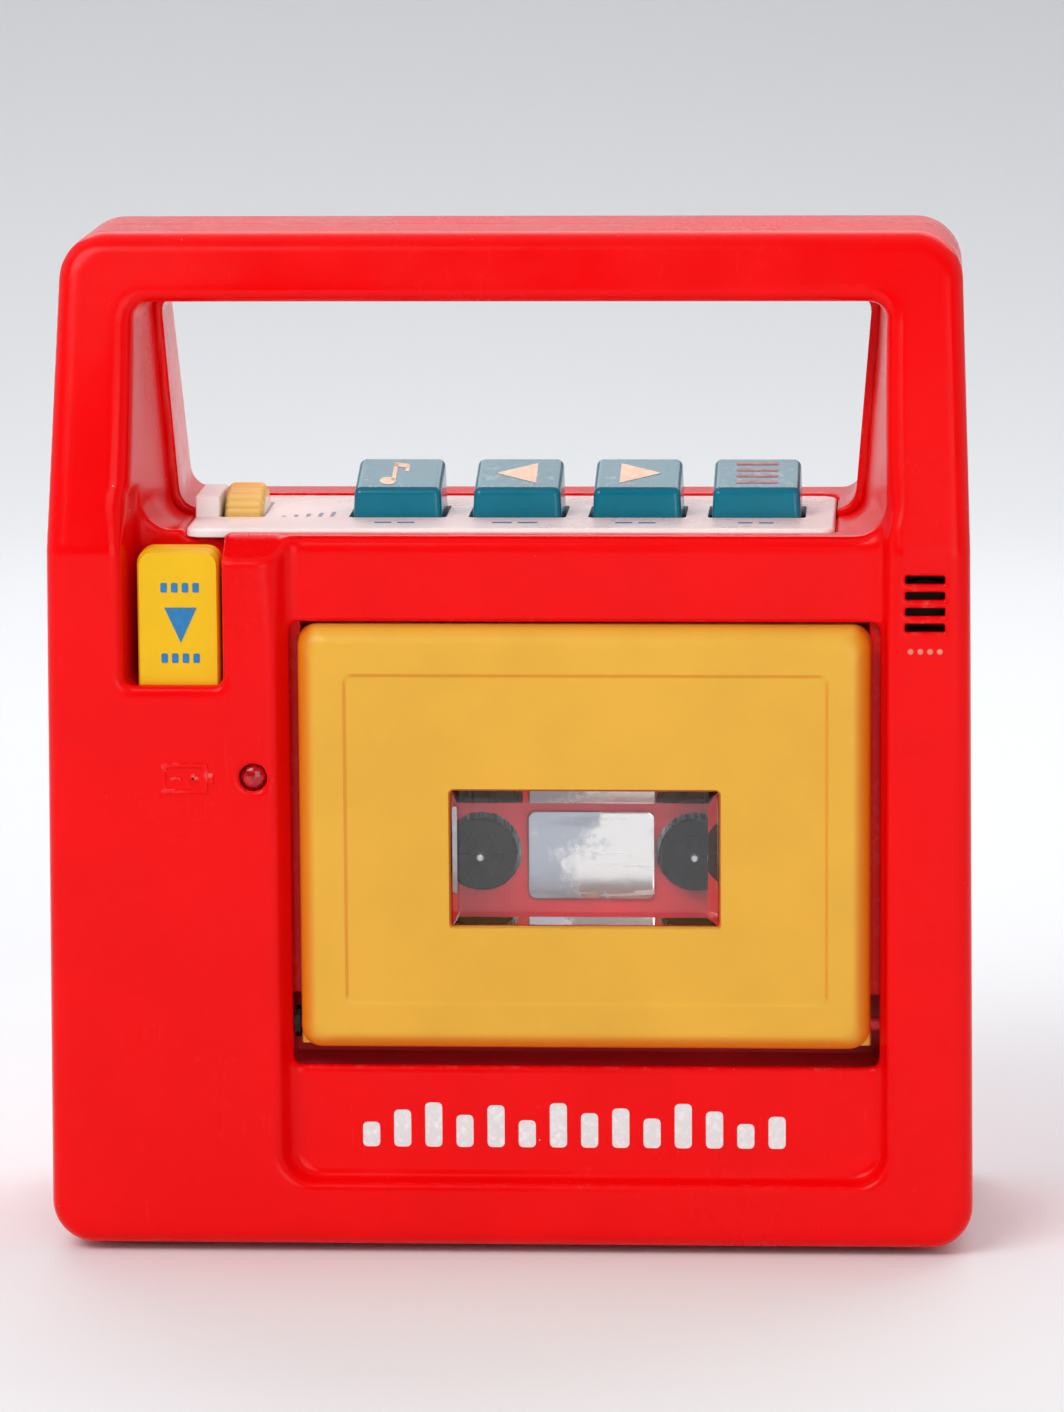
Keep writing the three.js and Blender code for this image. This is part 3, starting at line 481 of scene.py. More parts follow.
def coil(name, centre, radius, wire, turns, z0, z1):
    """A helical spring of round wire standing on z0, with closed end turns."""
    steps, sides = 20, 8
    total = int(turns * steps)
    rings = []
    for i in range(total + 1):
        t = i / total
        ends = 1.2 / turns
        closed_ends = (ease(t, 0, ends) * 0.5 * ends, ease(t, 1 - ends, 1) * 0.5 * ends)
        rise = closed_ends[0] + np.clip(t - ends, 0, 1 - 2 * ends) + closed_ends[1]
        z = z0 + wire + (z1 - z0 - 2 * wire) * float(rise) / (1 - ends)
        angle = 2 * math.pi * turns * t
        out = (math.cos(angle), math.sin(angle))
        ring = []
        for k in range(sides):
            phi = 2 * math.pi * k / sides
            r = radius + wire * math.cos(phi)
            ring.append((centre[0] + r * out[0], centre[1] + r * out[1], z + wire * math.sin(phi)))
        rings.append(ring)
    return loft(name, rings)


def prism(name, outline, thickness, lift, origin, right, up):
    """A thin printed shape: a flat outline on the plane through origin, pushed out along its normal."""
    right, up = Vector(right).normalized(), Vector(up).normalized()
    out = right.cross(up)
    rings = []
    for height in (lift, lift + thickness):
        rings.append([tuple(Vector(origin) + right * u + up * v + out * height) for u, v in outline])
    count = len(outline)
    faces = [(i, (i + 1) % count, count + (i + 1) % count, count + i) for i in range(count)]
    faces.append(tuple(range(count - 1, -1, -1)))
    faces.append(tuple(range(count, 2 * count)))
    obj = mesh_piece(name, rings[0] + rings[1], faces, smooth=False)
    recalc(obj)
    return obj


# ---------------------------------------------------------------- materials
def add(tree, kind, inputs=None, **settings):
    """A new node; an input given as a socket is linked, and any other is set."""
    node = tree.nodes.new(kind)
    for key, value in settings.items():
        setattr(node, key, value)
    for key, value in (inputs or {}).items():
        if isinstance(value, bpy.types.NodeSocket):
            tree.links.new(value, node.inputs[key])
        else:
            node.inputs[key].default_value = value
    return node


def start(name):
    """A new material with object coordinates: (tree, principled shader, coordinates)."""
    material = bpy.data.materials.new(name)
    material.use_nodes = True
    tree = material.node_tree
    tree.nodes.clear()
    shader = add(tree, "ShaderNodeBsdfPrincipled")
    output = add(tree, "ShaderNodeOutputMaterial", {"Surface": shader.outputs[0]})
    output.location = (400, 0)
    coords = add(tree, "ShaderNodeTexCoord").outputs["Object"]
    return material, tree, shader, coords


def noise(tree, coords, scale, detail=3.0, rough=0.55, stretch=None):
    if stretch:
        coords = add(tree, "ShaderNodeMapping", {"Vector": coords, "Scale": stretch}).outputs[0]
    return add(tree, "ShaderNodeTexNoise",
               {"Vector": coords, "Scale": scale, "Detail": detail, "Roughness": rough}).outputs["Fac"]


def remap(tree, value, low, high, out_low=0.0, out_high=1.0):
    return add(tree, "ShaderNodeMapRange", {"Value": value, "From Min": low, "From Max": high,
                                            "To Min": out_low, "To Max": out_high},
               interpolation_type="SMOOTHSTEP").outputs["Result"]


def math_node(tree, operation, a, b):
    return add(tree, "ShaderNodeMath", {0: a, 1: b}, operation=operation).outputs[0]


def mix(tree, factor, a, b):
    node = tree.nodes.new("ShaderNodeMix")
    node.data_type = "RGBA"
    sockets = {"Factor_Float": factor, "A_Color": a, "B_Color": b}
    for socket in node.inputs:
        value = sockets.get(socket.identifier)
        if value is None:
            continue
        if isinstance(value, bpy.types.NodeSocket):
            tree.links.new(value, socket)
        else:
            socket.default_value = value
    return next(s for s in node.outputs if s.identifier == "Result_Color")


def shade(colour, factor):
    return tuple(min(1.0, c * factor) for c in colour[:3]) + (1.0,)


def specks(tree, coords, scale, size, density):
    """Small round specks, where density (0 to 1) of the cells have one."""
    cells = add(tree, "ShaderNodeTexVoronoi", {"Vector": coords, "Scale": scale, "Randomness": 1.0})
    dot = remap(tree, cells.outputs["Distance"], size * 0.5, size, 1, 0)
    pick = remap(tree, cells.outputs["Color"], 1 - density, 1.02 - density)
    return math_node(tree, "MULTIPLY", dot, pick)


def edges(tree):
    """1 on convex edges, 0 elsewhere."""
    point = add(tree, "ShaderNodeNewGeometry").outputs["Pointiness"]
    return remap(tree, point, 0.53, 0.6)


def bump(tree, height, distance, strength=1.0, under=None):
    inputs = {"Height": height, "Distance": distance, "Strength": strength}
    if under:
        inputs["Normal"] = under
    return add(tree, "ShaderNodeBump", inputs).outputs[0]


def times(tree, a, b):
    return math_node(tree, "MULTIPLY", a, b)


def plus(tree, a, b):
    return math_node(tree, "ADD", a, b)


def dress(tree, shader, colour, rough, normal=None):
    """Links what drives the shader's colour, roughness and normal."""
    for socket, value in (("Base Color", colour), ("Roughness", rough), ("Normal", normal)):
        if value is not None:
            tree.links.new(value, shader.inputs[socket])


def side_shade_mask(tree, coords_node):
    """1 where the plastic faces sideways or down, 0 where it faces the front or up: the mask for a painted
    shade.
    """
    normal = add(tree, "ShaderNodeSeparateXYZ", {"Vector": coords_node.outputs["Normal"]})
    across = math_node(tree, "ABSOLUTE", normal.outputs["X"], 0)
    down = times(tree, normal.outputs["Z"], -1)
    return remap(tree, math_node(tree, "MAXIMUM", across, down), 0.1, 0.6)


def plastic(name, colour, rough=0.3, tint=0.07, dust=0.25, dust_and_highlight_colour=(0.9, 0.72, 0.66), edge_wear_and_highlight=0.5,
            specular=0.5, painted_side_shade=None):
    """Moulded plastic in use: colour drift, sparse dust and nicks, edges lightened partly by rubbing and
    partly as a painted highlight, smudges and hairlines, and a painted shade on faces turned sideways or down
    when a side shade colour is given.
    """
    material, tree, shader, coords = start(name)
    drift = remap(tree, noise(tree, coords, 45, 4), 0.3, 0.7)
    base = mix(tree, drift, shade(colour, 1 - tint), shade(colour, 1 + tint))
    if painted_side_shade:
        # painted shade and painted red reflection: faces turned sideways or down take the darker side colour
        away = times(tree, side_shade_mask(tree, coords.node), 0.85)
        base = mix(tree, away, base, shade(painted_side_shade, 1))

    patches = remap(tree, noise(tree, coords, 70, 2), 0.56, 0.7)
    small = times(tree, specks(tree, coords, 700, 0.14, dust), patches)
    large = specks(tree, coords, 260, 0.08, dust * 0.15)
    uneven = remap(tree, noise(tree, coords, 420, 5, 0.7), 0.5, 0.66)
    # convex edges lightened: partly rubbed wear, partly a painted highlight
    rubbed_and_highlit = times(tree, times(tree, edges(tree), uneven), edge_wear_and_highlight)
    marks = math_node(tree, "MAXIMUM", math_node(tree, "MAXIMUM", small, large), rubbed_and_highlit)
    # dust specks and the lightened edges take the pale colour; on the edges it is partly a painted highlight
    base = mix(tree, times(tree, marks, 0.75), base, (*dust_and_highlight_colour, 1.0))

    smudge = remap(tree, noise(tree, coords, 28, 5, 0.65), 0.35, 0.7, -0.05, 0.09)
    hairline = noise(tree, coords, 900, 2, 0.5, stretch=(1.0, 1.0, 0.06))
    hairline = remap(tree, hairline, 0.6, 0.75, 0, 0.03)
    roughness = plus(tree, plus(tree, smudge, hairline), rough)
    roughness = plus(tree, roughness, times(tree, marks, 0.3))
    shader.inputs["Specular IOR Level"].default_value = specular

    wave = bump(tree, noise(tree, coords, 22, 1), 0.24 * MM, 0.35)
    fine = bump(tree, noise(tree, coords, 2600, 2, 0.6), 0.032 * MM, 0.5, wave)
    dress(tree, shader, base, roughness, fine)
    return material


def rubber(name, colour):
    material, tree, shader, coords = start(name)
    dusty = times(tree, remap(tree, noise(tree, coords, 160, 4), 0.35, 0.7), 0.5)
    dress(tree, shader, mix(tree, dusty, shade(colour, 1), shade(colour, 1.9)),
          remap(tree, noise(tree, coords, 300, 3), 0.3, 0.7, 0.6, 0.85),
          bump(tree, noise(tree, coords, 3200, 3), 0.05 * MM, 0.6))
    return material


def metal(name, colour, rough=0.25, brush=(1, 1, 0.03), patina=0.12):
    """Plated or turned metal: fine lines along one direction, and duller patches."""
    material, tree, shader, coords = start(name)
    dull = remap(tree, noise(tree, coords, 90, 4), 0.4, 0.75)
    lines = noise(tree, coords, 2600, 2, 0.5, stretch=brush)
    amount = plus(tree, remap(tree, lines, 0.3, 0.7, rough - 0.08, rough + 0.1),
                  remap(tree, dull, 0, 1, 0, 0.12))
    shader.inputs["Metallic"].default_value = 1.0
    dress(tree, shader, mix(tree, times(tree, dull, patina * 4), shade(colour, 1), shade(colour, 0.72)),
          amount, bump(tree, lines, 0.02 * MM, 0.5))
    return material


def turned_metal(name, colour, rough=0.22):
    """Lathe rings round the node's own depth axis show as fine lines across y."""
    return metal(name, colour, rough, brush=(0.05, 1, 0.05), patina=0.16)


def smudged_mirror(name):
    """Bright metallised sheet with finger smears: one side duller, streaks and a few scratches."""
    material, tree, shader, coords = start(name)
    smear = noise(tree, coords, 55, 4, 0.6, stretch=(1.0, 1.0, 0.45))
    across = add(tree, "ShaderNodeSeparateXYZ", {"Vector": coords}).outputs["X"]
    side = remap(tree, across, 4 * MM, 24 * MM, 0.34, -0.02)
    blotch = remap(tree, noise(tree, coords, 130, 5, 0.7), 0.35, 0.65, -0.12, 0.12)
    veil = remap(tree, plus(tree, plus(tree, smear, side), blotch), 0.5, 0.74)
    scratch = remap(tree, noise(tree, coords, 500, 2, 0.5, stretch=(0.1, 1, 1)), 0.62, 0.7, 0, 0.2)
    shader.inputs["Metallic"].default_value = 0.85
    dress(tree, shader, mix(tree, veil, (0.90, 0.86, 0.84, 1), (0.46, 0.49, 0.56, 1)),
          plus(tree, remap(tree, veil, 0, 1, 0.16, 0.36), scratch),
          bump(tree, noise(tree, coords, 120, 3), 0.12 * MM, 0.5))
    return material


def clear_plastic(name):
    material, tree, shader, coords = start(name)
    veil = remap(tree, noise(tree, coords, 60, 4), 0.4, 0.8)
    scratch = remap(tree, noise(tree, coords, 700, 2, 0.5, stretch=(0.08, 1, 1)), 0.64, 0.74, 0, 0.12)
    dress(tree, shader, mix(tree, veil, (0.97, 0.98, 0.98, 1), (0.93, 0.95, 0.96, 1)),
          plus(tree, remap(tree, veil, 0, 1, 0.01, 0.05), scratch))
    shader.inputs["Transmission Weight"].default_value = 1.0
    shader.inputs["IOR"].default_value = 1.49
    # lamps light what is behind the pane
    through = add(tree, "ShaderNodeBsdfTransparent", {"Color": (0.95, 0.95, 0.95, 1)})
    path = add(tree, "ShaderNodeLightPath").outputs["Is Shadow Ray"]
    both = add(tree, "ShaderNodeMixShader", {0: path, 1: shader.outputs[0], 2: through.outputs[0]})
    output = next(node for node in tree.nodes if node.type == "OUTPUT_MATERIAL")
    tree.links.new(both.outputs[0], output.inputs["Surface"])
    return material


def lens(name, colour):
    """A translucent red dome with darker moulding lines inside."""
    material, tree, shader, coords = start(name)
    depth = remap(tree, noise(tree, coords, 600, 3), 0.3, 0.7)
    dress(tree, shader, mix(tree, depth, shade(colour, 0.5), shade(colour, 1.4)),
          remap(tree, depth, 0, 1, 0.06, 0.16))
    shader.inputs["Transmission Weight"].default_value = 0.35
    shader.inputs["IOR"].default_value = 1.5
    return material


def printed(name, colour):
    """Silk-screen ink: nearly even, with pinholes and a slightly rough film."""
    material, tree, shader, coords = start(name)
    thin = remap(tree, noise(tree, coords, 900, 3, 0.6), 0.45, 0.75)
    dress(tree, shader, mix(tree, thin, shade(colour, 0.86), shade(colour, 1.05)),
          remap(tree, noise(tree, coords, 500, 3), 0.3, 0.7, 0.32, 0.5),
          bump(tree, noise(tree, coords, 3000, 2), 0.02 * MM, 0.5))
    return material


def fibre(name, colour):
    """Felted paper or fibre board."""
    material, tree, shader, coords = start(name)
    fibres = noise(tree, coords, 900, 5, 0.7)
    dress(tree, shader, mix(tree, remap(tree, fibres, 0.3, 0.7), shade(colour, 0.7), shade(colour, 1.3)),
          remap(tree, fibres, 0.3, 0.7, 0.75, 0.95), bump(tree, fibres, 0.08 * MM, 0.7))
    return material


def circuit(name):
    """Solder mask with paler copper tracks under it."""
    material, tree, shader, coords = start(name)
    tracks = add(tree, "ShaderNodeTexVoronoi", {"Vector": coords, "Scale": 140.0, "Randomness": 0.7},
                 distance="MANHATTAN", feature="F2")
    line = remap(tree, tracks.outputs["Distance"], 0.5, 0.56)
    dress(tree, shader, mix(tree, line, (0.06, 0.16, 0.05, 1), (0.12, 0.27, 0.08, 1)),
          remap(tree, noise(tree, coords, 300, 3), 0.3, 0.7, 0.3, 0.5), bump(tree, line, 0.06 * MM, 0.6))
    return material


def cell_sleeve(name):
    """A battery's printed sleeve: dark blue body with a pale band, scuffed."""
    material, tree, shader, coords = start(name)
    along = add(tree, "ShaderNodeSeparateXYZ", {"Vector": coords}).outputs["X"]
    along = math_node(tree, "ABSOLUTE", along, 0)
    band = times(tree, remap(tree, along, 0.041, 0.0412), remap(tree, along, 0.049, 0.0488))
    base = mix(tree, band, (0.03, 0.06, 0.16, 1), (0.75, 0.72, 0.6, 1))
    scuff = remap(tree, noise(tree, coords, 380, 5, 0.7), 0.58, 0.7)
    dress(tree, shader, mix(tree, times(tree, scuff, 0.5), base, (0.6, 0.6, 0.6, 1)),
          remap(tree, scuff, 0, 1, 0.25, 0.55), bump(tree, scuff, 0.03 * MM, 0.4))
    return material


CASE_RED = (0.84, 0.001, 0.002)
# the edge wear amount also scales a painted edge highlight, and the dust colour is also that highlight's
# colour
RED = plastic("case_red", CASE_RED, 0.2, tint=0.03, dust=0.12, edge_wear_and_highlight=0.3, specular=0.13)
COVER_RED = plastic("cover_red", CASE_RED, 0.22, tint=0.03, dust=0.1, edge_wear_and_highlight=0.04, specular=0.13)
WELL_RED = plastic("well_red", (0.82, 0.015, 0.03), 0.4, dust=0.12, edge_wear_and_highlight=0.2, dust_and_highlight_colour=(0.75, 0.4, 0.42))
# the door's sides and underside get a deep orange painted shade
YELLOW = plastic("door_yellow", (0.76, 0.40, 0.04), 0.33, tint=0.04, dust=0.03, edge_wear_and_highlight=0.12, specular=0.25,
                 dust_and_highlight_colour=(0.9, 0.7, 0.35), painted_side_shade=(0.70, 0.17, 0.003))
BUTTON = plastic("button_yellow", (0.84, 0.49, 0.008), 0.33, tint=0.05, dust=0.05, edge_wear_and_highlight=0.15, specular=0.2,
                 dust_and_highlight_colour=(0.92, 0.8, 0.4))
WHEEL_YELLOW = plastic("wheel_yellow", (0.90, 0.66, 0.20), 0.4, tint=0.05, dust=0.05, edge_wear_and_highlight=0.3, specular=0.4,
                       dust_and_highlight_colour=(0.95, 0.86, 0.6))
TEAL = plastic("key_teal", (0.001, 0.17, 0.25), 0.17, tint=0.08, dust=0.22, edge_wear_and_highlight=0.3, specular=0.33,
               dust_and_highlight_colour=(0.72, 0.86, 0.88))
CREAM = plastic("plate_white", (0.90, 0.89, 0.87), tint=0.04, dust=0.08, dust_and_highlight_colour=(0.95, 0.94, 0.92))
BLACK = plastic("black_plastic", (0.022, 0.018, 0.017), 0.4, tint=0.25, dust=0.3,
                dust_and_highlight_colour=(0.32, 0.26, 0.22))
SOOT = plastic("soot_black", (0.011, 0.008, 0.008), 0.6, tint=0.2, dust=0.08, edge_wear_and_highlight=0.05, specular=0.08,
               dust_and_highlight_colour=(0.12, 0.09, 0.08))
BLUED = metal("blued_steel", (0.035, 0.036, 0.04), 0.45)
CLEAR = clear_plastic("window_clear")
LENS = lens("lamp_red", (0.62, 0.004, 0.012))
MIRROR = smudged_mirror("mirror_silver")
STEEL = metal("steel", (0.60, 0.61, 0.62))
BRASS = turned_metal("brass", (0.62, 0.44, 0.16))
RUBBER = rubber("rubber", (0.028, 0.027, 0.026))
PAPER = fibre("cone_paper", (0.045, 0.036, 0.03))
BOARD = circuit("board_green")
SLEEVE = cell_sleeve("cell_sleeve")
CREAM_INK = printed("cream_ink", (0.92, 0.75, 0.50))
RED_INK = printed("red_ink", (0.42, 0.06, 0.07))
BLUE_INK = printed("blue_ink", (0.012, 0.20, 0.48))
SLATE_INK = printed("slate_ink", (0.25, 0.33, 0.42))
FADED_INK = printed("faded_ink", (0.80, 0.26, 0.16))
WHITE_INK = printed("white_ink", (0.86, 0.84, 0.84))


# ---------------------------------------------------------------- case
def case_shells():
    xs = axis_steps(-92.5, 92.5, 1.0, [(76, 88, 0.5)])
    zs = axis_steps(-1.5, 203.5, 1.0, [(121, 137, 0.5)])
    front_ys = axis_steps(-39.5, 1.5, 1.0, [(-1.6, 0.6, 0.4)])
    rear_ys = axis_steps(-1.5, 39.5, 1.0, [(-0.6, 1.6, 0.4)])
    for node, field, ys in (("front_shell", front_field, front_ys), ("rear_shell", rear_field, rear_ys)):
        form = mesh_piece(f"{node}_form", *surface_net(field, xs, ys, zs))
        finish_piece(form, "case", RED, node)


def joined(name, parts):
    """One object from several; it keeps the first one's modifiers."""
    bm = bmesh.new()
    for part in parts:
        bm.from_mesh(part.data)
    bm.to_mesh(parts[0].data)
    bm.free()
    for part in parts[1:]:
        bpy.data.objects.remove(part)
    parts[0].name = name
    return parts[0]


def feet():
    profile = [(0, 0.5), (4.2, 0.5), (4.6, 0.3), (4.9, -0.4), (5.0, -1.0), (4.6, -1.5), (3.2, -1.5),
               (2.9, -1.2), (0, -1.1)]
    for i in range(1, 5):
        x, y, _ = middle(f"foot_{i}")
        foot = turned(f"foot_{i}_form", profile, (x, y, 0), "z", 40)
        finish_piece(foot, "case", RUBBER, f"foot_{i}")


def cross_screw(node, head_height, head_r, body):
    """A pan-head screw with a cross slot, its head facing +y."""
    x, _, z = middle(node)
    y0, y1 = span(node)[2:4]
    head_y = y1 - head_height
    profile = [(0, y0), (1.2, y0), (1.4, y0 + 1)]
    thread = y0 + 1
    while thread < head_y - 2:
        profile += [(1.45, thread + 0.35), (1.1, thread + 0.7)]
        thread += 0.9
    profile += [(1.4, head_y - 1.2), (head_r, head_y), (head_r, head_y + 0.8), (head_r - 0.4, y1 - 0.4)]
    profile += [(head_r - 1.2, y1 - 0.05), (0, y1)]
    screw = turned(f"{node}_form", profile, (x, 0, z), "y", 28)
    narrow, wide = 0.45, head_r * 0.6
    for across, along in ((narrow, wide), (wide, narrow)):
        corners = box_corners(x - across, x + across, y1 - 1.1, y1 + 1, z - along, z + along)
        subtract(screw, soft_block("slot", corners, 0.1, 0.1, 0.1, 1))
    return finish_piece(screw, body, STEEL, node)


def subtract(obj, cutter):
    """Cuts cutter out of obj for good, and removes cutter."""
    obj.modifiers.clear()
    cut = obj.modifiers.new("cut", "BOOLEAN")
    cut.object = cutter
    cut.solver = "EXACT"
    bpy.context.view_layer.update()
    result = obj.evaluated_get(bpy.context.evaluated_depsgraph_get())
    mesh = bpy.data.meshes.new_from_object(result)
    obj.modifiers.clear()
    obj.data = mesh
    bpy.data.objects.remove(cutter)
    mesh.polygons.foreach_set("use_smooth", [True] * len(mesh.polygons))
    return weighted(obj, 35)


# ---------------------------------------------------------------- door
def door():
    x0, x1, front, _, z0, z1 = span("door")
    outer = (x0, x1, z0, z1)
    hole = inset(span("door_window")[:2] + span("door_window")[4:], -0.25)
    panel = (-31.7, 62.3, 49.8, 114.7)
    skin, back, rim, radius = 2.5, -30.5, 4.0, 4.0
    rings = rings_at(hole, [(0, 0.8, front + skin), (0, 0.8, front + 0.8), (-0.35, 1.0, front + 0.35),
                            (-2.5, 1.4, front + 0.3)])
    rings += rings_at(panel, [(0.6, 1.2, front + 0.3), (0.1, 1.4, front + 0.29), (0, 1.4, front + 0.27),
                              (-0.6, 1.7, front + 0.02), (-0.7, 1.8, front), (-1.1, 1.9, front)])
    rings += rings_at(outer, [(0.25 + rim * (1 - sin_t), radius, front + rim * (1 - cos_t))
                              for sin_t, cos_t in quarter(8)])
    rings += rings_at(outer, [(0, radius, back - 0.5), (0.5, radius, back), (skin - 0.3, 2.2, back),
                              (skin, 2.0, back - 0.4), (skin, 2.0, front + skin + 1),
                              (skin + 1, 1.4, front + skin)])
    parts = [loft("door_form", rings, closed=True)]
    for wall, inward in ((x0, 1), (x1, -1)):
        def across(name, a, b, y0, y1, low, high):
            ends = sorted((wall + inward * a, wall + inward * b))
            return soft_block(name, box_corners(*ends, y0, y1, low, high), 0.4, 0.3, 0.3, 2)
        parts.append(across("ear", 0, skin, back - 1, -26, z0 + 0.2, 47.5))
        parts.append(across("rail", skin - 0.5, skin + 2, -36, -17.5, 45.5, 104))
        parts.append(across("lip", skin, skin + 6.4, -19, -17.5, 45.5, 104))
    shelf = box_corners(x0 + skin - 1, x1 - skin + 1, -36, -18, 45.3, 46.9)
    parts.append(soft_block("shelf", shelf, 0.4, 0.3, 0.3, 2))
    finish_piece(joined("door_form", parts), "door", YELLOW, "door")


def door_stops():
    """Two narrow strips beside the door that its skirt closes against."""
    for name, wall, inward in (("left", POCKET["x0"], 1), ("right", POCKET["x1"], -1)):
        ends = sorted((wall - 0.6 * inward, wall + 2.2 * inward))
        corners = box_corners(*ends, -30.2, -28.6, 50, POCKET["z1"] + 0.4)
        strip = soft_block(f"door_stop_{name}", corners, 0.3, 0.3, 0.3, 2)
        finish_piece(strip, "case", COVER_RED)


def window_pane():
    x0, x1, front, back, z0, z1 = span("door_window")
    left, other = 1.2, 2.1
    face = (x0 + left, x1 - other, z0 + other, z1 - other)
    outer = (x0, x1, z0, z1)
    soft = (x0 + left * 0.9, x1 - other * 0.92, z0 + other * 0.92, z1 - other * 0.92)
    rings = rings_at(outer, [(0.2, 0.5, back), (0, 0.6, back - 0.2), (0, 0.6, front + other + 0.1),
                             (0.1, 0.6, front + other - 0.05)])
    rings += [frame_ring(soft, 0.5, front + 0.12), frame_ring(face, 0.4, front)]
    pane = loft("door_window_form", rings)
    finish_piece(pane, "door", CLEAR, "door_window")


def reflector():
    x0, x1, front, back, z0, z1 = span("reflector_plate")
    rings = rings_at((x0, x1, z0, z1), [(0.2, 1.4, back), (0, 1.6, back - 0.2), (0, 1.6, front + 0.35),
                                        (0.15, 1.5, front + 0.08), (0.5, 1.3, front)])
    finish_piece(loft("reflector_form", rings), "case", MIRROR, "reflector_plate")


def spindle(node, gear_r):
    """A reel spindle: pale axle tip, splined nose, disc and drive gear."""
    x, _, z = middle(node)
    front, back = span(node)[2:4]
    gear_y = -6.2
    profile = [(0, back), (gear_r - 0.3, back), (gear_r, back - 0.3), (gear_r, gear_y),
               (gear_r - 0.4, gear_y - 0.2), (2.5, gear_y - 0.2)]
    nose = [(2.5, 5.6), (6.9, 5.6), (7.2, 5.3), (7.2, 4.0), (6.8, 3.6), (4.2, 3.6), (4.1, 2.0), (3.6, 1.8),
            (0.9, 1.4), (0.9, 1.3), (0, 1.3)]
    profile += [(radius, front + behind) for radius, behind in nose]
    parts = [turned(f"{node}_form", profile, (x, 0, z))]
    for i in range(6):
        corners = box_corners(2.2, 4.6, front + 1.0, front + 3.8, -0.45, 0.45)
        rib = soft_block("rib", corners, 0.15, 0.15, 0.15, 2)
        turn = Matrix.Translation((x * MM, 0, (z + FOOT) * MM)) @ Matrix.Rotation(math.tau * i / 6, 4, "Y")
        rib.data.transform(Matrix.Translation((0, 0, -FOOT * MM)))
        rib.data.transform(turn)
        parts.append(rib)
    finish_piece(joined(f"{node}_form", parts), node, SOOT, node)
    profile = [(0, front + 1.4), (0.8, front + 1.4), (0.8, front + 0.2), (0.6, front), (0, front)]
    finish_piece(turned(f"{node}_axle", profile, (x, 0, z), "y", 20), node, STEEL, None)


# ---------------------------------------------------------------- keys and controls
KEY_FRONT_TOP = 148.1                       # height of a key's top at its front edge


def key(node):
    """A wedge-shaped piano key: its front is lower than its rear."""
    x0, x1, y0, y1, stem_z0, z1 = span(node)
    low, rear_top, side = 133.5, z1 + 0.4, 0.7
    corners = [(x0, y0, low), (x1, y0, low), (x1, y1, low), (x0, y1, low),
               (x0 + side, y0 + 0.5, KEY_FRONT_TOP), (x1 - side, y0 + 0.5, KEY_FRONT_TOP),
               (x1 - side, y1 - 0.3, rear_top), (x0 + side, y1 - 0.3, rear_top)]
    head = soft_block(f"{node}_form", corners, 1.3, 1.3, 0.4, 5)
    x, y = (x0 + x1) / 2, (y0 + y1) / 2
    stem = soft_block("stem", box_corners(x - 2, x + 2, y - 2, y + 2, stem_z0, low + 0.5), 0.3, 0.2, 0.3, 2)
    finish_piece(joined(f"{node}_form", [head, stem]), node, TEAL, node)


def key_face(node):
    """Middle, right and up of a key's sloping top, for printing on."""
    x0, x1, y0, y1, _, z1 = span(node)
    centre = ((x0 + x1) / 2, (y0 + y1) / 2 + 0.1, (KEY_FRONT_TOP + z1 + 0.4) / 2)
    return centre, (1, 0, 0), (0, y1 - y0 - 0.8, z1 + 0.4 - KEY_FRONT_TOP)


def disc(cx, cy, rx, ry, tilt=0.0, steps=20):
    points = []
    turn_u, turn_v = math.cos(tilt), math.sin(tilt)
    for i in range(steps):
        angle = 2 * math.pi * i / steps
        u, v = rx * math.cos(angle), ry * math.sin(angle)
        points.append((cx + u * turn_u - v * turn_v, cy + u * turn_v + v * turn_u))
    return points


def bar(x0, x1, z0, z1, r=0.2):
    return round_rect(x0, x1, z0, z1, r, 3, 1)


def print_shapes(name, shapes, ink, origin, right, up, body):
    """Ink 0.05 thick, held 0.03 off the surface."""
    parts = [prism(f"{name}_{i}", shape, 0.05, 0.03, origin, right, up) for i, shape in enumerate(shapes)]
    return finish_piece(joined(name, parts), body, ink)


def key_signs():
    """A note, two arrowheads and a grid of lines stand for play, forward, rewind and record."""
    note = [disc(-2.2, -4.2, 1.6, 1.9, 0.3), bar(-1.5, -0.7, -4.0, 5.0),
            [(-1.5, 5.6), (-1.5, 3.6), (1.6, 2.6), (1.6, 4.6)], bar(1.0, 1.7, 0.8, 3.6)]
    left_arrow = [[(-4.6, 0), (3.6, -5.2), (3.6, 5.2)]]
    right_arrow = [[(4.6, 0), (-3.6, 5.2), (-3.6, -5.2)]]
    grille = [bar(-4.2, 4.2, -5.2 + 3.2 * i, -4.0 + 3.2 * i) for i in range(4)]
    signs = {"play_key": (note, CREAM_INK), "forward_key": (left_arrow, CREAM_INK),
             "rewind_key": (right_arrow, CREAM_INK), "record_key": (grille, RED_INK)}
    for node, (shapes, ink) in signs.items():
        origin, right, up = key_face(node)
        print_shapes(f"{node}_sign", shapes, ink, origin, right, up, node)


def key_springs():
    springs = [(f"{node}_spring", node.replace("key", "press"), 0.32, 6, 0.545) for node in KEYS]
    springs.append(("eject_spring", "eject_press", 0.35, 7, 0.538))
    for node, joint, radius, turns, keep in springs:
        x, y, _ = middle(node)
        z0, z1 = span(node)[4:]
        wire = coil(f"{node}_form", (x, y), 3.3, radius, turns, z0, z1)
        finish_piece(wire, "case", STEEL, node)
        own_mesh(wire)


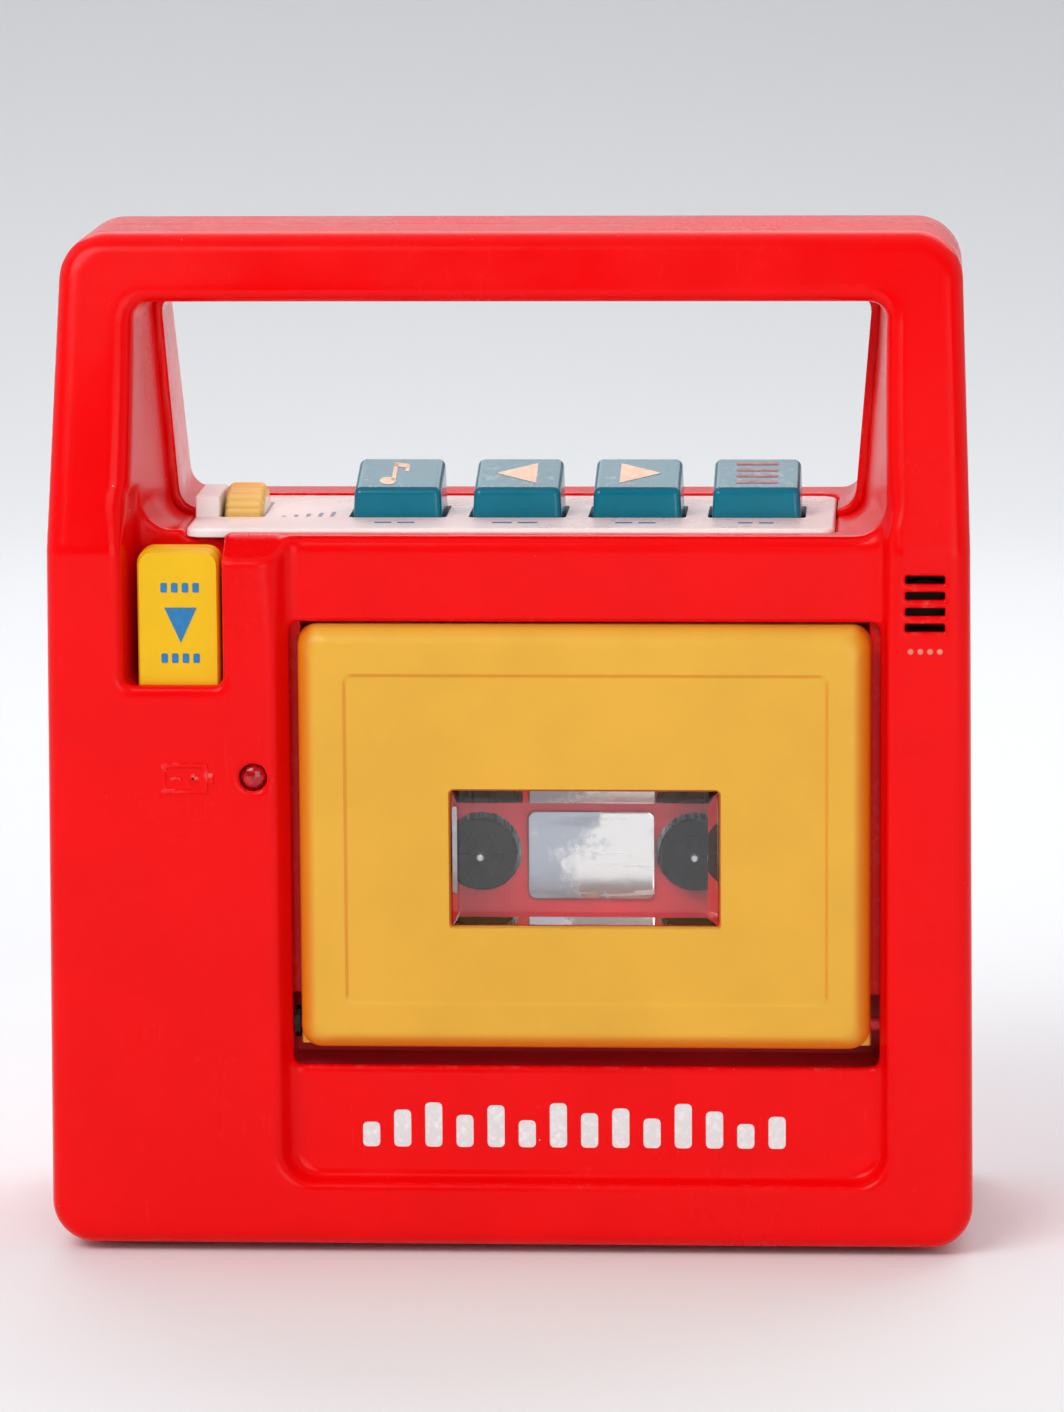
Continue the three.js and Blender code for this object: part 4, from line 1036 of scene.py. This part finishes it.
def plate():
    """The key plate, one closed loft with five rounded openings cut through it."""
    x0, x1, y0, y1, z0, z1 = span("key_plate")

    def upright(name, box, radius, levels):
        return loft(name, [[(u, v, z) for u, v in round_rect(*inset(box, d), radius)] for z, d in levels])

    form = upright("key_plate_form", (x0, x1, y0, y1), 3.0,
                   [(z0, 0.15), (z0 + 0.15, 0), (z1 - 0.8, 0), (z1 - 0.35, 0.12), (z1 - 0.1, 0.4), (z1, 0.8)])
    through = [(z0 - 1, 0), (z1 + 1, 0)]
    for node in KEYS:
        subtract(form, upright("hole", inset(span(node)[:4], -0.45), 1.2, through))
    _, wheel_x1, wheel_y0, wheel_y1, _, _ = span("volume_wheel")
    slot = (wheel_x1 - 8.7, wheel_x1 + 0.6, wheel_y0 + 0.5, wheel_y1 - 0.5)
    subtract(form, upright("hole", slot, 0.8, through))
    finish_piece(form, "case", CREAM, "key_plate")


WHEEL_RIM = 7.7                             # width of the wheel's knurled rim


def volume_wheel():
    """A knurled thumb wheel with a paler hub cheek on its right side."""
    x0, x1, y0, y1, z0, z1 = span("volume_wheel")
    centre = ((y0 + y1) / 2, (z0 + z1) / 2)
    radius, teeth, tooth_steps = (z1 - z0) / 2, 36, 8
    rim_x0 = x1 - WHEEL_RIM
    sections = [(rim_x0, radius - 1.2), (rim_x0 + 0.5, radius - 0.4), (rim_x0 + 1.0, radius),
                (x1 - 1.0, radius), (x1 - 0.5, radius - 0.4), (x1, radius - 1.2)]
    rings = []
    for x, r in sections:
        ring = []
        for i in range(teeth * tooth_steps):
            tooth = 0.5 + 0.5 * math.cos(2 * math.pi * (i % tooth_steps) / tooth_steps)
            angle = 2 * math.pi * i / (teeth * tooth_steps)
            reach = r - 0.95 * (1 - tooth ** 0.45)
            ring.append((x, centre[0] + reach * math.cos(angle), centre[1] + reach * math.sin(angle)))
        rings.append(ring)
    rim = loft("volume_wheel_form", rings)
    profile = [(0, x0), (1.8, x0), (2, x0 + 0.3), (2, rim_x0 + 1), (0, rim_x0 + 1)]
    wheel = joined("volume_wheel_form", [rim, turned("shaft", profile, (0, *centre), "x", 24)])
    finish_piece(wheel, "volume_wheel", WHEEL_YELLOW, "volume_wheel")
    cheek = [(0, x1 - 0.4), (8.6, x1 - 0.4), (9.2, x1 - 0.1), (9.0, x1 + 0.25), (3.6, x1 + 0.3),
             (3.2, x1 + 0.1), (0, x1 + 0.1)]
    cheek = turned("volume_wheel_cheek", cheek, (0, *centre), "x")
    finish_piece(cheek, "volume_wheel", CREAM, None)


def wheel_hood():
    """The raised block of the key plate at the wheel's left."""
    rim_x0 = span("volume_wheel")[1] - WHEEL_RIM
    y = middle("volume_wheel")[1]
    top = span("key_plate")[5]
    corners = box_corners(rim_x0 - 5.6, rim_x0 - 0.7, y - 11, y + 7, top - 0.5, top + 4.2)
    finish_piece(soft_block("wheel_hood", corners, 0.5, 1.6, 0.1, 5), "case", CREAM)


def eject_button():
    x0, x1, front, back, z0, z1 = span("eject_button")
    face_low, x = 104.0, (x0 + x1) / 2
    face = lofted_button("eject_button_form", x0, x1, front, back, face_low, z1)
    stem = soft_block("stem", box_corners(x - 1.7, x + 1.7, -33, -29.6, z0, face_low + 1), 0.3, 0.2, 0.2, 2)
    button = joined("eject_button_form", [face, stem])
    finish_piece(button, "eject_button", BUTTON, "eject_button")
    mark = [[(0, -3.6), (3.2, 3.4), (-3.2, 3.4)]]
    for low in (-7.6, 6.4):
        mark += [bar(-3.9 + 2.1 * i, -2.6 + 2.1 * i, low, low + 1.9, 0.3) for i in range(4)]
    print_shapes("eject_sign", mark, BLUE_INK, (x + 0.5, front, 124.6), (1, 0, 0), (0, 0, 1), "eject_button")


def lofted_button(name, x0, x1, front, back, low, high):
    """A button face with rounded corners and a soft front edge all round."""
    side, top, radius = 0.9, 2.4, 3.0
    rings = rings_at((x0, x1, low, high), [(0.4, radius, back), (0, radius, back - 0.4)])
    for sin_t, cos_t in reversed(quarter(7)):
        fall = 1 - cos_t
        drawn = (x0 + side * fall, x1 - side * fall, low + 0.5 * fall, high - top * fall)
        rings.append(frame_ring(drawn, radius, front + top * (1 - sin_t)))
    rings.append(frame_ring(inset(drawn, 0.6), radius - 0.4, front))
    return loft(name, rings)


def lamp():
    x, _, z = middle("lamp_lens")
    front, back = span("lamp_lens")[2:4]
    radius = 2.5
    profile = [(0, front + 0.15)]
    for sin_t, cos_t in quarter(8)[1:]:
        profile.append((radius * sin_t, front + 0.15 + 1.4 * (1 - cos_t)))
    profile += [(radius, back - 0.3), (radius - 0.3, back), (0, back)]
    finish_piece(turned("lamp_lens_form", profile, (x, 0, z), "y", 40), "case", LENS, "lamp_lens")


# ---------------------------------------------------------------- marks on the case
def battery_sign():
    """A raised battery outline under the lamp's left, in the case's own plastic."""
    face = -HALF_DEPTH
    x0, x1, z0, z1 = -68.2, -59.0, 91.4, 97.5
    line = 0.9
    outline = rings_at((x0, x1, z0, z1), [(0, 0.5, face + 0.1), (0, 0.5, face - 0.25),
                                          (0.15, 0.4, face - 0.38), (line - 0.15, 0.3, face - 0.38),
                                          (line, 0.3, face - 0.25), (line, 0.3, face + 0.1)])
    parts = [loft("battery_sign", outline, closed=True)]
    mid = (z0 + z1) / 2
    bars = [(x1 + 0.1, x1 + 1.2, 1.1), (x0 + 1.7, x0 + 4.1, 0.35), (x1 - 4.1, x1 - 1.7, 0.35),
            (x1 - 3.25, x1 - 2.55, 1.2)]
    for n, (a, b, half) in enumerate(bars):
        corners = box_corners(a, b, face - 0.36, face + 0.1, mid - half, mid + half)
        parts.append(soft_block(f"bar_{n}", corners, 0.12, 0.12, 0.05, 2))
    finish_piece(joined("battery_sign", parts), "case", RED, None)


def bar_row():
    """Generic printed level bars on the sill under the door, in place of any lettering."""
    heights = [5, 7.5, 9, 6.5, 8.5, 5.5, 9, 7, 8, 6, 9, 7.5, 5, 6.5]
    left, pitch, width, low = -29.5, 6.2, 3.4, 19.4
    shapes = [bar(left + pitch * i, left + pitch * i + width, low, low + height, 0.9)
              for i, height in enumerate(heights)]
    print_shapes("level_bars", shapes, WHITE_INK, (0, RECESS["y"], 0), (1, 0, 0), (0, 0, 1), "case")


def microphone_dots():
    shapes = [disc(78.9 + 1.9 * i, 120, 0.55, 0.55) for i in range(4)]
    print_shapes("microphone_dots", shapes, FADED_INK, (0, -HALF_DEPTH, 0), (1, 0, 0), (0, 0, 1), "case")


def plate_marks():
    """Dashes under the keys, and a wedge of strokes for rising volume beside the wheel."""
    top = span("key_plate")[5]
    dashes = []
    for node, width in zip(KEYS, (8, 9, 8, 7)):
        x = middle(node)[0]
        for a, b in ((x - width / 2, x - 0.6), (x + 0.6, x + width / 2)):
            dashes.append(bar(a, b, -18.2, -16.9, 0.25))
    print_shapes("key_dashes", dashes, BLUE_INK, (0, 0, top), (1, 0, 0), (0, 1, 0), "case")
    strokes = [bar(-46.5 + 2.4 * i, -45.7 + 2.4 * i, -9.0, -8.2 + 1.5 * i, 0.2) for i in range(5)]
    print_shapes("volume_wedge", strokes, SLATE_INK, (0, 0, top), (1, 0, 0), (0, 1, 0), "case")


# ---------------------------------------------------------------- rear
def battery_cover():
    x0, x1, y0, y1, z0, z1 = span("battery_cover")
    rings = rings_at((x0, x1, z0, z1), [(0.3, 1.2, y0), (0, 1.4, y0 + 0.3), (0, 1.4, y1 - 0.9),
                                        (0.3, 1.3, y1 - 0.4), (0.9, 1.2, y1 - 0.12), (3.0, 1.0, y1 - 0.1)])
    cover = loft("battery_cover_form", rings)
    x, _, z = middle("battery_cover_screw")
    profile = [(0, y0 - 2), (1.7, y0 - 2), (1.7, y1 - 2.0), (4.2, y1 - 1.9), (4.4, y1 + 1), (0, y1 + 1)]
    subtract(cover, turned("well", profile, (x, 0, z), "y", 32))
    parts = [cover]
    for i in range(9):
        low = z1 - 5.5 - 2.2 * i
        half = 16 - 0.9 * i
        if low > z + 6:
            corners = box_corners(x - half, x + half, y1 - 0.4, y1 - 0.01, low, low + 1.1)
            parts.append(soft_block("rib", corners, 0.18, 0.15, 0.05, 2))
    cover = joined("battery_cover_form", parts)
    finish_piece(cover, "battery_cover", COVER_RED, "battery_cover")


def rear_screws():
    for i in range(1, 5):
        cross_screw(f"case_screw_{i}", 2.2, 3.0, "case")
    cross_screw("battery_cover_screw", 2.0, 3.4, "battery_cover_screw")


# ---------------------------------------------------------------- inside
def speaker():
    x, _, z = middle("speaker_cone")
    front, rear = span("speaker_cone")[2:4]
    profile = [(0, front + 0.4), (9, front), (15.4, front)]
    profile += [(15.4 + 1.0 * i, front + 0.85 * i + 0.12 * (i % 2)) for i in range(1, 11)]
    profile += [(27.2, rear - 2.4), (28.2, rear - 1.6), (28.8, rear - 0.9), (28.8, rear - 0.3), (27.6, rear),
                (26.4, rear - 0.6), (25.4, rear - 1.6)]
    profile += [(25.4 - 1.0 * i, rear - 1.6 - 0.92 * i + 0.12 * (i % 2)) for i in range(1, 11)]
    profile += [(9, front + 1.3), (8.6, front + 2.0), (7, front + 3.4), (4, front + 4.2), (0, front + 4.4)]
    cone = turned("speaker_cone_form", profile, (x, 0, z), "y", 72)
    finish_piece(cone, "case", PAPER, "speaker_cone")


def batteries():
    for i in range(1, 5):
        node = f"battery_{i}"
        x0, x1, y0, y1, z0, z1 = span(node)
        radius, centre = (z1 - z0) / 2, ((y0 + y1) / 2, (z0 + z1) / 2)
        end = x1 - 1.2
        profile = [(0, x0 + 0.4), (9.5, x0 + 0.4), (10.3, x0), (12.2, x0), (12.8, x0 + 0.5),
                   (radius, x0 + 1.0), (radius, end - 1.2), (12.7, end - 0.5), (12.0, end), (11.0, end - 0.3), (5.2, end - 0.3),
                   (4.6, end), (3.2, end + 0.2), (3.1, x1 - 0.3), (2.7, x1), (0, x1)]
        finish_piece(turned(f"{node}_form", profile, (0, *centre), "x"), "case", SLEEVE, node)


def heads_and_roller():
    x0, x1, y0, y1, z0, z1 = span("play_head")
    outline = round_rect(x0, x1, z0, z1, 1.6)
    crown = [(1, y1), (1, y0 + 3.0), (1, y0 + 1.2), (0.9, y0 + 0.4), (0.66, y0)]
    rings = [[(u * wide + (1 - wide) * (x0 + x1) / 2, y, v) for u, v in outline] for wide, y in crown]
    finish_piece(loft("play_head_form", rings), "head_slide", MIRROR, "play_head")

    x, _, z = middle("pinch_roller")
    y0, y1 = span("pinch_roller")[2:4]
    tread = [(1.35, y0 + 0.3), (2.2, y0 + 0.3), (2.4, y0), (5.5, y0), (5.9, y0 + 0.4), (5.9, y1 - 0.4),
             (5.5, y1), (2.4, y1), (2.2, y1 - 0.3), (1.35, y1 - 0.3)]
    around = [(math.cos(math.tau * i / 48), math.sin(math.tau * i / 48)) for i in range(48)]
    rings = [[(x + radius * u, y, z + radius * v) for u, v in around] for radius, y in tread]
    roller = loft("pinch_roller_form", rings, closed=True)
    finish_piece(roller, "pinch_roller", RUBBER, "pinch_roller")


def carried_over():
    """CAD nodes whose shape is right get a material and softened edges."""
    finishes = {
        WELL_RED: (["cassette_well", "door_hinge_pin_left", "door_hinge_pin_right"], 0.3),
        STEEL: (["mechanism_chassis", "head_slide", "pinch_arm", "battery_contact_left",
                 "battery_contact_right", "speaker_frame", "motor", "volume_pot"], 0.15),
        BLUED: (["door_spring"], 0.1),
        SOOT: (["mic_capsule"], 0.2),
        BRASS: (["flywheel", "motor_pulley"], 0.15),
        RUBBER: (["drive_belt"], 0.1),
        BLACK: (["erase_head", "idler_wheel"], 0.2),
        BOARD: (["circuit_board"], 0.15),
    }
    for material, (nodes, width) in finishes.items():
        for node in nodes:
            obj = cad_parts[node]
            for place in obj.material_slots:
                place.material = material
            soften = obj.modifiers.new("soft_edges", "BEVEL")
            soften.width = width * MM
            soften.segments = 2
            soften.limit_method = "ANGLE"
            soften.angle_limit = math.radians(35)


# ---------------------------------------------------------------- studio
def backdrop():
    """A pale sweep: floor in front, rising in a wide curve behind."""
    half, turn = 2.5, 0.7
    profile = [(-3.0, 0.0), (-1.0, 0.0), (0.0, 0.0), (1.0, 0.0)]
    profile += [(1.0 + turn * math.sin(math.radians(a)), turn * (1 - math.cos(math.radians(a))))
                for a in range(6, 91, 6)]
    profile.append((1.0 + turn, 3.0))
    mesh = bpy.data.meshes.new("sweep")
    verts = [(side * half, y, z) for y, z in profile for side in (-1, 1)]
    faces = [(2 * i, 2 * i + 1, 2 * i + 3, 2 * i + 2) for i in range(len(profile) - 1)]
    mesh.from_pydata(verts, [], faces)
    mesh.polygons.foreach_set("use_smooth", [True] * len(faces))
    sweep = bpy.data.objects.new("sweep", mesh)
    bpy.context.scene.collection.objects.link(sweep)
    material, tree, shader, coords = start("sweep_paper")
    paper = mix(tree, noise(tree, coords, 3, 3), (0.78, 0.79, 0.81, 1), (0.82, 0.83, 0.84, 1))
    tree.links.new(paper, shader.inputs["Base Color"])
    shader.inputs["Roughness"].default_value = 0.8
    sweep.data.materials.append(material)


def area_light(name, place, aim, size, power):
    data = bpy.data.lights.new(name, "AREA")
    data.shape = "RECTANGLE"
    data.size, data.size_y = size
    data.energy = power
    lamp_object = bpy.data.objects.new(name, data)
    lamp_object.location = place
    direction = Vector(aim) - Vector(place)
    lamp_object.rotation_euler = direction.to_track_quat("-Z", "Y").to_euler()
    bpy.context.scene.collection.objects.link(lamp_object)


def world_light():
    """Bright above and behind, dimmer in front, as in a light tent with an open side."""
    world = bpy.data.worlds.new("tent")
    bpy.context.scene.world = world
    world.use_nodes = True
    tree = world.node_tree
    tree.nodes.clear()
    coords = add(tree, "ShaderNodeTexCoord").outputs["Generated"]
    across = add(tree, "ShaderNodeSeparateXYZ", {"Vector": coords}).outputs["Y"]
    level = remap(tree, across, -0.9, 0.3)
    tint = mix(tree, level, (0.10, 0.10, 0.11, 1), (0.95, 0.97, 1.0, 1))
    light = add(tree, "ShaderNodeBackground", {"Color": tint, "Strength": 0.85})
    add(tree, "ShaderNodeOutputWorld", {"Surface": light.outputs[0]})


def camera():
    """A front view with a long lens, from a little above and to the right."""
    target = Vector((4.953, -38.0, 109.087 + FOOT)) * MM
    distance, yaw, pitch, roll = 1.2901, math.radians(3.231), math.radians(9.342), math.radians(0.361)
    back = Vector((math.sin(yaw) * math.cos(pitch), -math.cos(yaw) * math.cos(pitch), math.sin(pitch)))
    level_right = Vector((math.cos(yaw), math.sin(yaw), 0))
    level_up = back.cross(level_right)
    right = level_right * math.cos(roll) - level_up * math.sin(roll)
    up = level_right * math.sin(roll) + level_up * math.cos(roll)
    data = bpy.data.cameras.new("camera")
    data.lens = 168.02
    data.sensor_width = 36
    eye = bpy.data.objects.new("camera", data)
    turn = Matrix((right, up, back)).transposed().to_4x4()
    eye.matrix_world = Matrix.Translation(target + back * distance) @ turn
    bpy.context.scene.collection.objects.link(eye)
    bpy.context.scene.camera = eye


case_shells()
feet()
door()
door_stops()
window_pane()
reflector()
spindle("takeup_spindle", 9.0)
spindle("supply_spindle", 4.5)
plate()
for key_node in KEYS:
    key(key_node)
key_signs()
key_springs()
volume_wheel()
wheel_hood()
eject_button()
lamp()
battery_sign()
bar_row()
microphone_dots()
plate_marks()
battery_cover()
rear_screws()
speaker()
batteries()
heads_and_roller()
carried_over()

backdrop()
world_light()
area_light("key_light", (-0.9, -1.3, 1.5), (0, 0, 0.1), (1.3, 1.0), 25)
area_light("front_fill", (0.7, -1.9, 0.5), (0, 0, 0.1), (1.2, 1.2), 12)
area_light("top_back", (0.1, 0.85, 0.95), (0, 0, 0.15), (1.6, 0.8), 9)
camera()
bpy.context.scene.view_settings.view_transform = "Standard"
